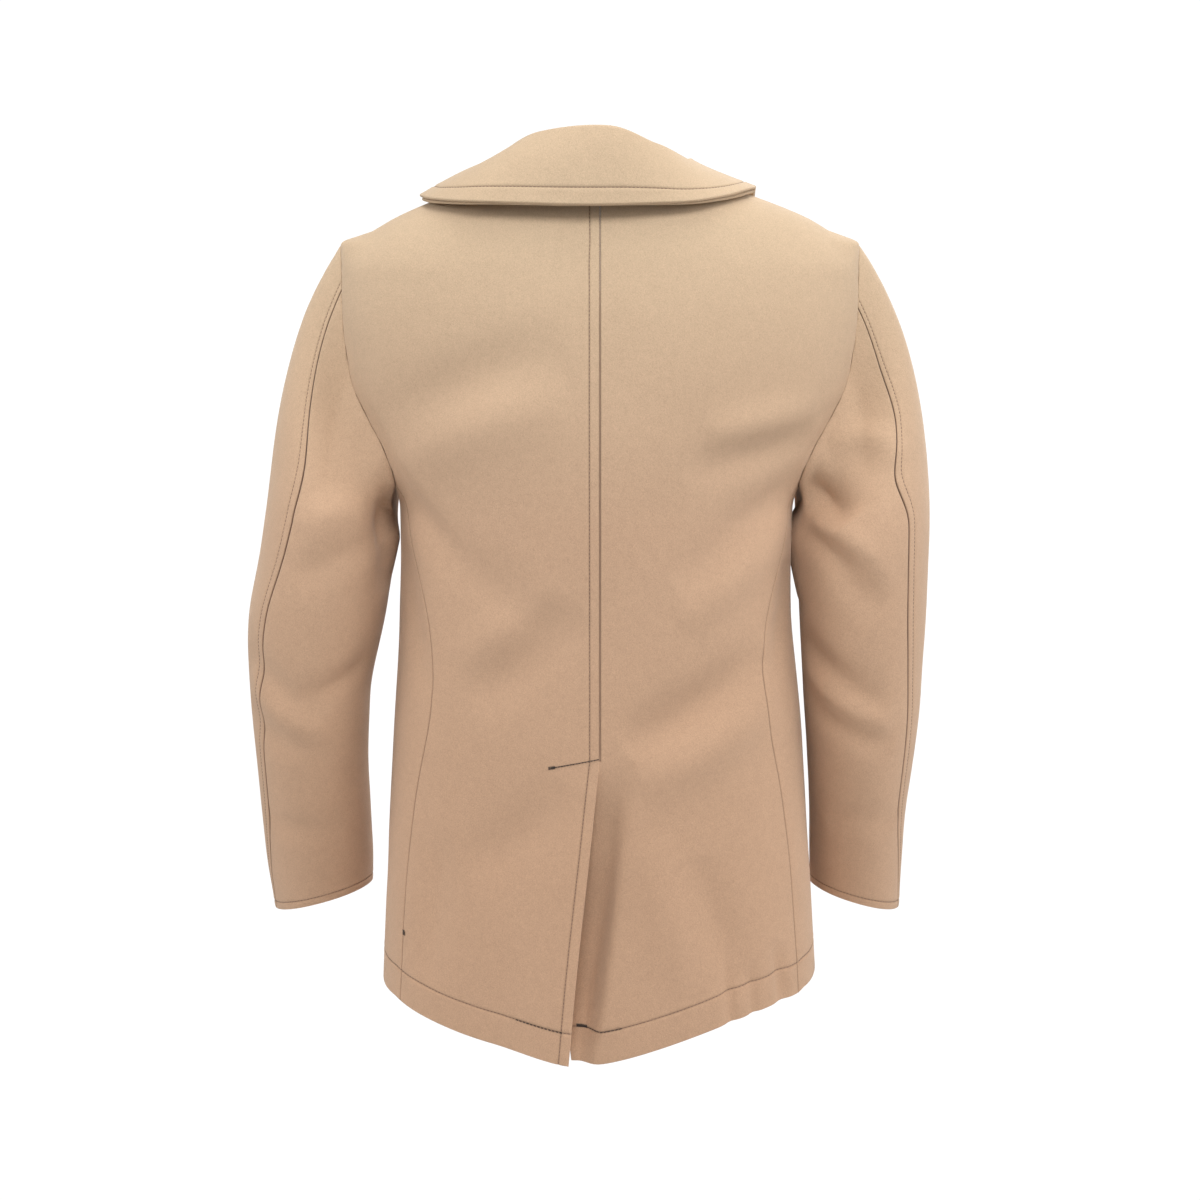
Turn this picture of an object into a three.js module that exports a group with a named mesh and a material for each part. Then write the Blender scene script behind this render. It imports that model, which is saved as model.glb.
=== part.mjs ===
// A double-breasted wool pea coat, filled out as worn and hollow, built from the pieces a tailor cuts.
// Millimetres, +Z up. The origin is the middle of the neck, level with the collar seam; the coat faces
// -Y and its wearer's left is +X. Every piece is a cloth wall laid on one shared form.
import * as THREE from "three";

const CLOTH = 3; // melton and its lining, pressed together
const SEAM = 0.3; // between pieces that are sewn together
const LAP = 7; // how far the left front stands over the right one
const HEM_SIDE = -747;
const HEM_BACK_DROP = 45; // the back hangs this much lower than the sides, falling to the vent
const HEM_TILT = 8.5; // the wearer's left side hangs this much lower, the right back this much higher
const HEM_FADE = 330; // height over which the hem's curve dies out
const SHOULDER_Z = -64;
const ARMPIT_Z = -282;
const VENT_TOP = -503;
const BREAK_Z = -236; // where the left lapel starts to roll
const CROSS_Z = -126; // where the two roll lines cross
const FRONT_EDGE = 88; // how far each front passes the centre
const ROLL_NECK = { x: 62, z: -38 }; // where the roll line meets the collar
const NECK_HALF = 76; // the neck seam where it crosses the shoulder
const BUTTON = { radius: 15, thick: 4, rim: 3, dish: 1.2, columns: [-64, 72], rows: [-286, -398, -510] };

// The body's rings: half width on the wearer's left and right, depth to the back and to the front, and
// how square the ring is.
const BODY = [
  { z: -800, left: 213, right: 212, back: 135, front: 132, square: 2.5 },
  { z: -750, left: 210, right: 209, back: 133, front: 130, square: 2.5 },
  { z: -640, left: 203, right: 201, back: 126, front: 124, square: 2.45 },
  { z: -500, left: 193, right: 189, back: 117, front: 118, square: 2.4 },
  { z: -390, left: 186, right: 178, back: 113, front: 119, square: 2.35 },
  { z: -300, left: 184, right: 177, back: 115, front: 123, square: 2.3 },
  { z: -240, left: 206, right: 203, back: 116, front: 122, square: 2.3 },
  { z: -180, left: 228, right: 227, back: 112, front: 117, square: 2.25 },
  { z: -120, left: 234, right: 234, back: 103, front: 104, square: 2.15 },
  { z: -64, left: 232, right: 232, back: 88, front: 84, square: 2.0 },
  { z: -50, left: 209, right: 209, back: 83, front: 80, square: 2.0 },
  { z: -30, left: 162, right: 162, back: 74, front: 72, square: 2.0 },
  { z: -12, left: 108, right: 108, back: 64, front: 65, square: 2.0 },
  { z: 0, left: 80, right: 80, back: 57, front: 60, square: 2.0 },
];

// The armhole: how far it reaches round the form, to the back and the front, at each angle of its loop.
// 0 is the shoulder point, 90 its back or front, and 180 the armpit.
const ARMHOLE = [
  { angle: 0, back: 0, front: 0 },
  { angle: 30, back: 8.5, front: 10 },
  { angle: 60, back: 12, front: 17 },
  { angle: 90, back: 13, front: 22 },
  { angle: 112, back: 18, front: 26 },
  { angle: 132, back: 21.5, front: 27 },
  { angle: 150, back: 18.5, front: 22 },
  { angle: 165, back: 11.5, front: 13 },
  { angle: 180, back: 0, front: 0 },
];
const SIDE_SEAM_ANGLE = 160; // where the side seam meets the armhole

// The side seam lies behind the arm and bends in at the waist: degrees round from the centre back.
const SIDE_SEAM = [
  { z: -800, deg: 60 },
  { z: -640, deg: 59 },
  { z: -560, deg: 56 },
  { z: -460, deg: 50 },
  { z: -400, deg: 53 },
  { z: -330, deg: 65 },
  { z: -275, deg: 75.6 },
];

// The vent below the centre seam: the left edge swings out over the underlap, which lies deeper.
const VENT = [
  { z: -800, edge: 32, proud: 13, under: 20, sunk: 6 },
  { z: -740, edge: 27, proud: 12, under: 27, sunk: 10 },
  { z: -650, edge: 18, proud: 9, under: 36, sunk: 10 },
  { z: -560, edge: 7, proud: 4, under: 42, sunk: 5.5 },
  { z: VENT_TOP - 8, edge: 1, proud: 0.6, under: 44, sunk: 3.8 },
];

// The sleeves' rings below the armhole: centre, half width, half depth and slope of the ring. The right
// sleeve hangs against the body and the left one stands off it.
const SLEEVE = {
  left: [
    { z: -698, x: 275, y: -48, wide: 48.5, deep: 57, slope: 0.26 },
    { z: -650, x: 275, y: -34, wide: 50.5, deep: 58, slope: 0.2 },
    { z: -585, x: 275, y: -16, wide: 51, deep: 62, slope: 0.14 },
    { z: -486, x: 273.5, y: 0, wide: 55, deep: 69, slope: 0.06 },
    { z: -390, x: 262, y: 3, wide: 63.5, deep: 76, slope: 0.03 },
    { z: -336, x: 251, y: 2, wide: 63, deep: 80, slope: 0.02 },
  ],
  right: [
    { z: -698, x: 253, y: -48, wide: 44, deep: 57, slope: 0.26 },
    { z: -650, x: 250.5, y: -34, wide: 45, deep: 58, slope: 0.2 },
    { z: -585, x: 248, y: -16, wide: 47, deep: 62, slope: 0.14 },
    { z: -486, x: 247, y: 0, wide: 54, deep: 69, slope: 0.06 },
    { z: -390, x: 244, y: 3, wide: 58.5, deep: 76, slope: 0.03 },
    { z: -336, x: 241, y: 2, wide: 61.5, deep: 80, slope: 0.02 },
  ],
};

// The sleeve's back seam, in degrees from the outside of the arm towards the back.
const SLEEVE_BACK_SEAM = {
  left: [
    { t: 0, deg: 50 },
    { t: 0.12, deg: 66 },
    { t: 0.2, deg: 71 },
    { t: 0.28, deg: 65 },
    { t: 0.36, deg: 59 },
    { t: 0.45, deg: 52 },
    { t: 0.62, deg: 46 },
    { t: 0.78, deg: 43 },
    { t: 0.9, deg: 34 },
    { t: 1, deg: 24 },
  ],
  right: [
    { t: 0, deg: 60 },
    { t: 0.08, deg: 66 },
    { t: 0.15, deg: 63 },
    { t: 0.22, deg: 70 },
    { t: 0.3, deg: 57 },
    { t: 0.42, deg: 57 },
    { t: 0.52, deg: 54 },
    { t: 0.62, deg: 49 },
    { t: 0.78, deg: 45 },
    { t: 0.9, deg: 34 },
    { t: 1, deg: 24 },
  ],
};
const SLEEVE_FRONT_SEAM = -112;

// The collar from the centre back round to its front end: neck seam, fold and outer edge.
const COLLAR = [
  { deg: -35, neckX: -46, neckY: 46, neckZ: 1, foldX: -45, foldY: 53, foldZ: 31, edgeX: -86, edgeY: 80, edgeZ: -27 },
  { deg: 0, neckX: 0, neckY: 57, neckZ: 1, foldX: 0, foldY: 65, foldZ: 36, edgeX: 0, edgeY: 92, edgeZ: -30 },
  { deg: 35, neckX: 46, neckY: 46, neckZ: 1, foldX: 45, foldY: 53, foldZ: 31, edgeX: 86, edgeY: 80, edgeZ: -27 },
  { deg: 70, neckX: 75, neckY: 19, neckZ: 1, foldX: 74, foldY: 24, foldZ: 16, edgeX: 141, edgeY: 36, edgeZ: -19 },
  { deg: 95, neckX: 79, neckY: -5, neckZ: 1, foldX: 78, foldY: -6, foldZ: 13, edgeX: 151, edgeY: -12, edgeZ: -16 },
  { deg: 110, neckX: 76, neckY: -25, neckZ: -1, foldX: 76, foldY: -23, foldZ: 11, edgeX: 149, edgeY: -36, edgeZ: -20 },
  { deg: 125, neckX: 67.5, neckY: -46, neckZ: -9, foldX: 72, foldY: -40, foldZ: 7, edgeX: 143, edgeY: -58, edgeZ: -33 },
  { deg: 150, neckX: 57.5, neckY: -69, neckZ: -33, foldX: 60, foldY: -72, foldZ: -19, edgeX: 127, edgeY: -84, edgeZ: -56 },
];
const COLLAR_SHIFT = { fold: 3, edge: 11 }; // the collar sits to the wearer's left
const COLLAR_FALL = { left: { fold: 0, edge: 3.5 }, right: { fold: 9, edge: -3.5 } }; // each side is this much lower

// The lapels, from the break up to the collar: a row runs from the roll line to the outer edge.
const LEFT_LAPEL = [
  { rollZ: -230, edgeX: -72, edgeZ: -229 },
  { rollZ: -196, edgeX: -10, edgeZ: -203 },
  { rollZ: -160, edgeX: 52, edgeZ: -166 },
  { rollZ: -118, edgeX: 108, edgeZ: -124 },
  { rollZ: -84, edgeX: 138, edgeZ: -98 },
  { rollZ: -60, edgeX: 104, edgeZ: -78 },
];
const RIGHT_LAPEL = [
  { rollZ: -113, edgeX: 36, edgeZ: -157 },
  { rollZ: -96, edgeX: 84, edgeZ: -141 },
  { rollZ: -79, edgeX: 126, edgeZ: -107 },
  { rollZ: -70, edgeX: 138, edgeZ: -98 },
  { rollZ: -60, edgeX: 104, edgeZ: -78 },
];
const LAPEL_ROLL = 4.6; // radius of the fold along the roll line
const LAPEL_LIFT = 6.6; // the lapel's face above the front that it lies on

const CLOTH_COLOUR = { color: 0xc6a07e, roughness: 0.95, metalness: 0 };
const BUTTON_COLOUR = { color: 0x4a3323, roughness: 0.4, metalness: 0 };

const radians = THREE.MathUtils.degToRad;
const degrees = THREE.MathUtils.radToDeg;
const lerp = THREE.MathUtils.lerp;
const ease = (x, from, to) => {
  const t = THREE.MathUtils.clamp((x - from) / (to - from), 0, 1);
  return t * t * (3 - 2 * t);
};
const power = (x, p) => Math.sign(x) * Math.abs(x) ** p;

// Every column of a table at one place along its first column, on a smooth curve that never overshoots.
function sample(table, at) {
  const keys = Object.keys(table[0]);
  const by = keys[0];
  const last = table.length - 1;
  const x = THREE.MathUtils.clamp(at, table[0][by], table[last][by]);
  let i = 0;
  while (i < last - 1 && table[i + 1][by] < x) i++;
  const rise = (k, j) => (table[j + 1][k] - table[j][k]) / (table[j + 1][by] - table[j][by]);
  const slope = (k, j) => {
    if (j === 0) return rise(k, 0);
    if (j === last) return rise(k, last - 1);
    const [p, q] = [rise(k, j - 1), rise(k, j)];
    return p * q <= 0 ? 0 : (2 * p * q) / (p + q);
  };
  const width = table[i + 1][by] - table[i][by];
  const t = (x - table[i][by]) / width;
  const row = { [by]: x };
  for (const k of keys.slice(1)) {
    row[k] =
      table[i][k] * (1 + 2 * t) * (1 - t) ** 2 +
      slope(k, i) * width * t * (1 - t) ** 2 +
      table[i + 1][k] * t * t * (3 - 2 * t) +
      slope(k, i + 1) * width * t * t * (t - 1);
  }
  return row;
}

// The form under the cloth. Every piece is worked out on its own side of the coat, with side 1 for the
// wearer's left and -1 for the right, degrees round from the centre back towards that side, and x
// positive on it; the right side's pieces are mirrored into place at the end.
function formPoint(side, deg, z) {
  const ring = sample(BODY, z);
  const s = Math.sin(radians(deg));
  const c = Math.cos(radians(deg));
  const half = lerp(ring.right, ring.left, (side * s + 1) / 2);
  const depth = c > 0 ? ring.back : ring.front;
  return new THREE.Vector3(half * power(s, 2 / ring.square), depth * power(c, 2 / ring.square), z);
}

function surfaceNormal(point, u, v, du, dv) {
  const across = point(u + du, v).sub(point(u - du, v));
  const along = point(u, v + dv).sub(point(u, v - dv));
  return across.cross(along).normalize();
}

function formNormal(side, deg, z) {
  const place = (u, v) => formPoint(side, u, v);
  return surfaceNormal(place, deg, Math.min(z, -2), 1.2, 1.5).negate();
}

function onForm(side, deg, z, out = 0) {
  return formPoint(side, deg, z).addScaledVector(formNormal(side, deg, z), out);
}

// Degrees round the form of a place x across it, on the back or the front.
function degAt(side, x, z, front = false) {
  const ring = sample(BODY, z);
  let deg = 0;
  for (let i = 0; i < 4; i++) {
    const half = lerp(ring.right, ring.left, (side * Math.sin(radians(deg)) + 1) / 2);
    deg = degrees(Math.asin(power(THREE.MathUtils.clamp(x / half, -1, 1), ring.square / 2)));
  }
  return front ? 180 - deg : deg;
}

const ARMHOLE_MIDDLE = (SHOULDER_Z + ARMPIT_Z) / 2;
const ARMHOLE_HALF = (SHOULDER_Z - ARMPIT_Z) / 2;

// The armhole on the form: an angle over 180 is on its front, so that 270 is across from 90.
function armhole(angle) {
  const turn = THREE.MathUtils.euclideanModulo(angle, 360);
  const row = sample(ARMHOLE, Math.min(turn, 360 - turn));
  return {
    deg: 90 + (turn > 180 ? row.front : -row.back),
    z: ARMHOLE_MIDDLE + ARMHOLE_HALF * Math.cos(radians(turn)),
  };
}

// The armhole's edge on a panel at height z, as the loop's angle.
function armholeAngle(z) {
  return degrees(Math.acos(THREE.MathUtils.clamp((z - ARMHOLE_MIDDLE) / ARMHOLE_HALF, -1, 1)));
}

// The hem is lowest beside the vent; its fall fades out up the panel.
function dropped(side, deg, z) {
  const across = Math.sin(radians(deg));
  const share = Math.cos(radians(deg)) > 0 ? Math.max(0, 1 - Math.abs(across) / 0.9) : 0;
  const tilt = side > 0 ? across : -Math.max(0, Math.sin(radians(3 * Math.min(deg, 60))));
  return z - (HEM_BACK_DROP * share + HEM_TILT * tilt) * (1 - ease(z, HEM_SIDE, HEM_SIDE + HEM_FADE));
}

// Twice a cell's area, along the way that it is wound.
function cellArea([a, b, c, d], points) {
  return points[c].clone().sub(points[a]).cross(points[d].clone().sub(points[b]));
}

// A closed wall from a surface: outer points, their outward normals, and the cells that join them,
// wound either way.
function wall(name, side, outer, normals, cells, thick = CLOTH) {
  [...outer, ...normals].forEach((p) => (p.x *= side));
  const count = outer.length;
  const facing = cells.reduce((sum, cell) => sum + cellArea(cell, outer).dot(normals[cell[0]]), 0);
  if (facing < 0) cells.forEach((cell) => cell.reverse());
  const points = [...outer, ...outer.map((p, i) => p.clone().addScaledVector(normals[i], -thick))];
  const edges = new Map();
  const index = [];
  const quad = (a, b, c, d) => index.push(a, b, c, a, c, d);
  for (const cell of cells) {
    quad(...cell);
    quad(...cell.map((i) => i + count).reverse());
    cell.forEach((a, k) => {
      const b = cell[(k + 1) % cell.length];
      if (!edges.delete(`${b}_${a}`)) edges.set(`${a}_${b}`, [a, b]);
    });
  }
  for (const [a, b] of edges.values()) quad(b, a, a + count, b + count);
  const geometry = new THREE.BufferGeometry().setFromPoints(points).setIndex(index);
  const mesh = new THREE.Mesh(geometry, new THREE.MeshStandardMaterial(CLOTH_COLOUR));
  mesh.name = name;
  return mesh;
}

// Cells of a regular grid.
function gridCells(columns, rows) {
  const cells = [];
  for (let j = 0; j < rows; j++) {
    for (let i = 0; i < columns; i++) {
      const a = j * (columns + 1) + i;
      cells.push([a, a + 1, a + columns + 2, a + columns + 1]);
    }
  }
  return cells;
}

// A wall on a grid of (u, v) in 0..1, from place(u, v), which gives a point and its outward normal.
function gridWall(name, side, columns, rows, place) {
  const outer = [];
  const normals = [];
  for (let j = 0; j <= rows; j++) {
    for (let i = 0; i <= columns; i++) {
      const at = place(i / columns, j / rows);
      outer.push(at.point);
      normals.push(at.normal);
    }
  }
  return wall(name, side, outer, normals, gridCells(columns, rows));
}

// Rows up the body panels, from the hem to the top of the side seam, and from there to the neck.
const SIDE_SEAM_TOP = armhole(SIDE_SEAM_ANGLE).z;
const LOW_ROWS = [HEM_SIDE, -716, -676, -636, -596, -556, -528, -511, VENT_TOP + 1, -470, -430, -386, -346,
  -318, -296, SIDE_SEAM_TOP];
const BACK_ROWS = [...LOW_ROWS, -262, -246, -225, -200, -160, -120, -95, -80, -71, SHOULDER_Z, -46, -30, -15, -SEAM];
const FRONT_ROWS = [-262, BREAK_Z, -205, -170, -140, -124, -100, -82, -72, SHOULDER_Z, -48, -32, -16, -SEAM];

// The edge of a back panel away from the centre: side seam, armhole, then shoulder seam.
function backEdge(z) {
  if (z <= SIDE_SEAM_TOP) return sample(SIDE_SEAM, z).deg;
  return z <= SHOULDER_Z ? armhole(armholeAngle(z)).deg : 90;
}

// Half a seam's gap, in degrees round the form.
const SEAM_DEG = 0.08;

// The right back panel carries the vent's underlap.
function backPanel(name, side) {
  const columns = 8;
  const outer = [];
  const normals = [];
  for (const level of BACK_ROWS) {
    const vent = sample(VENT, level);
    const open = level < VENT_TOP;
    let inner = 0.25;
    if (open) inner = side > 0 ? vent.edge : -vent.under;
    const from = degAt(side, inner, level);
    const to = backEdge(level) - SEAM_DEG;
    for (let i = 0; i <= columns; i++) {
      const deg = lerp(from, to, (i / columns) ** (open && side < 0 ? 1.15 : 1));
      const { x } = formPoint(side, deg, level);
      let out = 0;
      if (open && side > 0) out = vent.proud * (1 - ease(x, vent.edge, vent.edge + 70));
      if (side < 0) out = -vent.sunk * (1 - ease(x, -12, 48)) * (1 - ease(level, VENT_TOP + 2, -472));
      const z = dropped(side, deg, level);
      outer.push(onForm(side, deg, z, out));
      normals.push(formNormal(side, deg, z));
    }
  }
  return wall(name, side, outer, normals, gridCells(columns, BACK_ROWS.length - 1));
}

// The roll line runs straight from the break to the collar.
function rollX(z) {
  return lerp(-FRONT_EDGE, ROLL_NECK.x, (z - BREAK_Z) / (ROLL_NECK.z - BREAK_Z));
}

// How far across the centre a front reaches at height z: its edge, then its roll line, then the neck seam.
function frontEdgeX(z, side) {
  if (z <= (side > 0 ? BREAK_Z : CROSS_Z)) return -FRONT_EDGE;
  return Math.min(rollX(z), lerp(NECK_HALF, ROLL_NECK.x, z / ROLL_NECK.z));
}

// The left front lies over the right one wherever the two pass each other.
function frontOut(x, z, side) {
  return side > 0 ? LAP * ease(x, 142, 106) * ease(z, -48, -104) : 0;
}

function frontPanel(name, side) {
  const underarm = 3;
  const columns = 9;
  const outer = [];
  const normals = [];
  const add = (deg, z) => {
    const { x } = formPoint(side, deg, z);
    outer.push(onForm(side, deg, z, frontOut(x, z, side)));
    normals.push(formNormal(side, deg, z));
  };
  const frontEdge = (z) => degAt(side, frontEdgeX(z, side), z, true);
  const corner = armhole(SIDE_SEAM_ANGLE).deg;
  for (const level of LOW_ROWS) {
    const seam = sample(SIDE_SEAM, level).deg + SEAM_DEG;
    const rise = ease(level, -380, SIDE_SEAM_TOP);
    for (let i = 0; i < underarm; i++) {
      const hole = armhole(lerp(SIDE_SEAM_ANGLE, 180, i / underarm));
      const deg = lerp(seam, 90, (hole.deg - corner) / (90 - corner));
      add(deg, dropped(side, deg, level - (SIDE_SEAM_TOP - hole.z) * rise));
    }
    const z = level - (SIDE_SEAM_TOP - ARMPIT_Z) * rise;
    for (let i = 0; i <= columns; i++) {
      const deg = lerp(90, frontEdge(z), i / columns);
      add(deg, dropped(side, deg, z));
    }
  }
  const lowWide = underarm + columns + 1;
  const cells = gridCells(lowWide - 1, LOW_ROWS.length - 1);
  for (const level of FRONT_ROWS) {
    const from = level <= SHOULDER_Z ? armhole(-armholeAngle(level)).deg : 90;
    for (let i = 0; i <= columns; i++) {
      add(lerp(from + SEAM_DEG, frontEdge(level), i / columns), level);
    }
  }
  const top = (LOW_ROWS.length - 1) * lowWide + underarm;
  FRONT_ROWS.forEach((_, j) => {
    const above = LOW_ROWS.length * lowWide + j * (columns + 1);
    const below = j ? above - (columns + 1) : top;
    for (let i = 0; i < columns; i++) {
      cells.push([below + i, below + i + 1, above + i + 1, above + i]);
    }
  });
  return wall(name, side, outer, normals, cells);
}

// A point of the sleeve's ring at height z; angle 0 is the outside of the arm, 90 its back.
function sleeveRing(side, angle, z) {
  const ring = sample(side > 0 ? SLEEVE.left : SLEEVE.right, z);
  const x = ring.wide * Math.cos(radians(angle));
  const y = ring.deep * Math.sin(radians(angle));
  return new THREE.Vector3(ring.x + x, ring.y + y, z - ring.slope * x + ring.slope * 0.6 * y);
}

// The sleeve from the armhole, t = 0, to the cuff, t = 1.
const CAP_END = 0.34;
const SLEEVE_GAP = 1.3; // from the armhole's edge, measured down the sleeve
const SLEEVE_CUFF = SLEEVE.left[0].z;
const SLEEVE_TOP = SLEEVE.left[SLEEVE.left.length - 1].z;

function sleevePoint(side, angle, t) {
  if (t >= CAP_END) {
    return sleeveRing(side, angle, lerp(SLEEVE_TOP, SLEEVE_CUFF, (t - CAP_END) / (1 - CAP_END)));
  }
  const hole = armhole(angle);
  const start = formPoint(side, hole.deg, hole.z);
  const end = sleeveRing(side, angle, SLEEVE_TOP);
  const reach = start.distanceTo(end);
  const out = 0.5 + 0.14 * Math.max(0, Math.cos(radians(angle)));
  const leave = new THREE.Vector3(out, 0, -0.86).multiplyScalar(reach);
  const arrive = sleeveRing(side, angle, SLEEVE_TOP - 6).sub(end).normalize().multiplyScalar(reach);
  const s = Math.max(t, 0) / CAP_END;
  start.addScaledVector(leave, SLEEVE_GAP / reach);
  return start
    .multiplyScalar((1 + 2 * s) * (1 - s) ** 2)
    .addScaledVector(leave, s * (1 - s) ** 2)
    .addScaledVector(end, s * s * (3 - 2 * s))
    .addScaledVector(arrive, s * s * (s - 1));
}

// The sleeve's first ring is mitred against the body.
function sleeveNormal(side, angle, t) {
  const place = (u, v) => sleevePoint(side, u, v);
  const own = surfaceNormal(place, angle, THREE.MathUtils.clamp(t, 0.012, 0.99), 2, 0.01);
  if (t > 0.001) return own;
  const hole = armhole(angle);
  const body = formNormal(side, hole.deg, hole.z);
  return own.lerp(body, ease(own.dot(body), 0.1, 0.6)).normalize();
}

function sleevePiece(name, side, from, to, columns) {
  const gap = 0.26;
  return gridWall(name, side, columns, 15, (u, v) => {
    const angle = lerp(from(v) + gap, to(v) - gap, u);
    return { point: sleevePoint(side, angle, v), normal: sleeveNormal(side, angle, v).negate() };
  });
}

// The collar at u, from -1 at the wearer's right front end to 1 at the left one.
function collarRow(u) {
  const row = sample(COLLAR, Math.abs(u) * COLLAR[COLLAR.length - 1].deg);
  const side = Math.sign(u) || 1;
  const shift = 1 - ease(Math.abs(u), 0.6, 0.95);
  const fall = side > 0 ? COLLAR_FALL.left : COLLAR_FALL.right;
  const foldLow = ease(Math.abs(u), 0.05, 0.25) * (1 - ease(Math.abs(u), 0.3, 0.75));
  const edgeLow = shift * ease(Math.abs(u), 0.2, 0.5);
  return {
    neck: new THREE.Vector3(side * row.neckX, row.neckY, row.neckZ),
    fold: new THREE.Vector3(
      side * row.foldX + shift * COLLAR_SHIFT.fold,
      row.foldY,
      row.foldZ - foldLow * fall.fold,
    ),
    edge: new THREE.Vector3(
      side * row.edgeX + shift * COLLAR_SHIFT.edge,
      row.edgeY,
      row.edgeZ - edgeLow * fall.edge,
    ),
  };
}

const LEAF_BULGE = 3.5; // how far the leaf's middle stands out of a straight line
const FOLD_RADIUS = 4.5;

// The collar's stand rises from the neck seam, v = 0, to just below the fold, v = 1.
function standPoint(u, v) {
  const { neck, fold } = collarRow(u);
  return neck.lerp(fold.add(new THREE.Vector3(0, 0, -6)), v);
}

// The leaf turns over at the fold, v = 0, and falls to its outer edge, v = 1.
function leafPoint(u, v) {
  const { fold, edge } = collarRow(u);
  const away = edge.clone().sub(fold).setZ(0).normalize();
  const turn = v * 5;
  if (turn < 1) {
    const a = radians(lerp(150, 40, turn));
    return fold
      .addScaledVector(away, FOLD_RADIUS * (1 + Math.cos(a)) + 0.6)
      .add(new THREE.Vector3(0, 0, FOLD_RADIUS * (Math.sin(a) - 1)));
  }
  const a = radians(40);
  const start = fold
    .addScaledVector(away, FOLD_RADIUS * (1 + Math.cos(a)) + 0.6)
    .add(new THREE.Vector3(0, 0, FOLD_RADIUS * (Math.sin(a) - 1)));
  const s = (turn - 1) / 4;
  const out = away.clone().multiplyScalar(0.55).setZ(0.83);
  return start.lerp(edge, s).addScaledVector(out, LEAF_BULGE * Math.sin(Math.PI * s) * (1 - 0.35 * s));
}

function collarPiece(name, point, rows, depth) {
  return gridWall(name, 1, 22, rows, (i, v) => {
    const u = lerp(-1, 1, i);
    const side = THREE.MathUtils.clamp(u, -0.995, 0.995);
    const at = THREE.MathUtils.clamp(v, 0.01, 0.99);
    const normal = surfaceNormal(point, side, at, 0.005, 0.01);
    return { point: point(u, v).addScaledVector(normal, -depth), normal };
  });
}

// A place on the front of the form, x across and z up, moved out; x is positive on the piece's side.
function onFront(side, x, z, out) {
  return onForm(side, degAt(side, x, z, true), z, out);
}

// A lapel: the facing rolls over the front's edge and lies on the chest.
function lapel(name, rows, side) {
  const columns = 8;
  const roll = 3; // columns round the fold
  const table = rows.map((row, i) => ({ at: i / (rows.length - 1), rollX: rollX(row.rollZ), ...row }));
  const place = (u, v) => {
    const row = sample(table, v);
    const line = sample(table, Math.min(v + 0.02, 1));
    const back = sample(table, Math.max(v - 0.02, 0));
    const along = new THREE.Vector2(line.rollX - back.rollX, line.rollZ - back.rollZ).normalize();
    const outward = new THREE.Vector2(along.y, -along.x);
    const base = frontOut(row.rollX, row.rollZ, side);
    const step = u * columns;
    if (step < roll) {
      const a = radians(lerp(-60, 90, step / roll));
      const d = -LAPEL_ROLL * Math.cos(a) - 0.4;
      const out = base + LAPEL_LIFT - LAPEL_ROLL + LAPEL_ROLL * Math.sin(a);
      return onFront(side, row.rollX + outward.x * d, row.rollZ + outward.y * d, out);
    }
    const s = (step - roll) / (columns - roll);
    const x = lerp(row.rollX, row.edgeX, s);
    const z = lerp(row.rollZ, row.edgeZ, s);
    return onFront(side, x, z, lerp(base, frontOut(x, z, side), s) + LAPEL_LIFT + 1.5 * Math.sin(Math.PI * s));
  };
  return gridWall(name, side, columns, 8, (u, v) => {
    const at = THREE.MathUtils.clamp(u, 0.02, 0.98);
    const up = THREE.MathUtils.clamp(v, 0.02, 0.98);
    return { point: place(u, v), normal: surfaceNormal(place, at, up, 0.015, 0.015) };
  });
}

// A strip sewn on a front where the hand goes in, made from the front's points moved out.
const POCKET = { topX: 128, topZ: -470, footX: 146, footZ: -632, wide: 26, thick: 2 };

function pocketWelt(name, side) {
  const outer = [];
  const normals = [];
  const rows = 7;
  for (let j = 0; j <= rows; j++) {
    for (let i = 0; i <= 2; i++) {
      const z = lerp(POCKET.footZ, POCKET.topZ, j / rows);
      const x = lerp(POCKET.footX, POCKET.topX, j / rows) + (i / 2 - 0.5) * POCKET.wide;
      const deg = degAt(side, x, z, true);
      outer.push(onForm(side, deg, z, POCKET.thick + SEAM + 0.5 + frontOut(x, z, side)));
      normals.push(formNormal(side, deg, z));
    }
  }
  return wall(name, side, outer, normals, gridCells(2, rows), POCKET.thick);
}

// A dished button, facing along its own +Z before it is set on the front.
function buttonGeometry() {
  const { radius, thick, rim, dish } = BUTTON;
  const profile = [
    [0, 0],
    [radius - 1.2, 0],
    [radius, 1.2],
    [radius, thick - 1],
    [radius - 1, thick],
    [radius - rim, thick],
    [radius - rim - 1.2, thick - dish],
    [0, thick - dish],
  ].map(([r, h]) => new THREE.Vector2(r, h));
  return new THREE.LatheGeometry(profile, 20).rotateX(Math.PI / 2);
}

const SHANK = 0.2; // from the form to a button's back; the facets of the front lie under the form

function button(name, x, z) {
  const deg = degAt(1, x, z, true);
  const mesh = new THREE.Mesh(buttonGeometry(), new THREE.MeshStandardMaterial(BUTTON_COLOUR));
  mesh.name = name;
  mesh.position.copy(onForm(1, deg, z, frontOut(x, z, 1) + SHANK));
  mesh.quaternion.setFromUnitVectors(new THREE.Vector3(0, 0, 1), formNormal(1, deg, z));
  return mesh;
}

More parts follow.
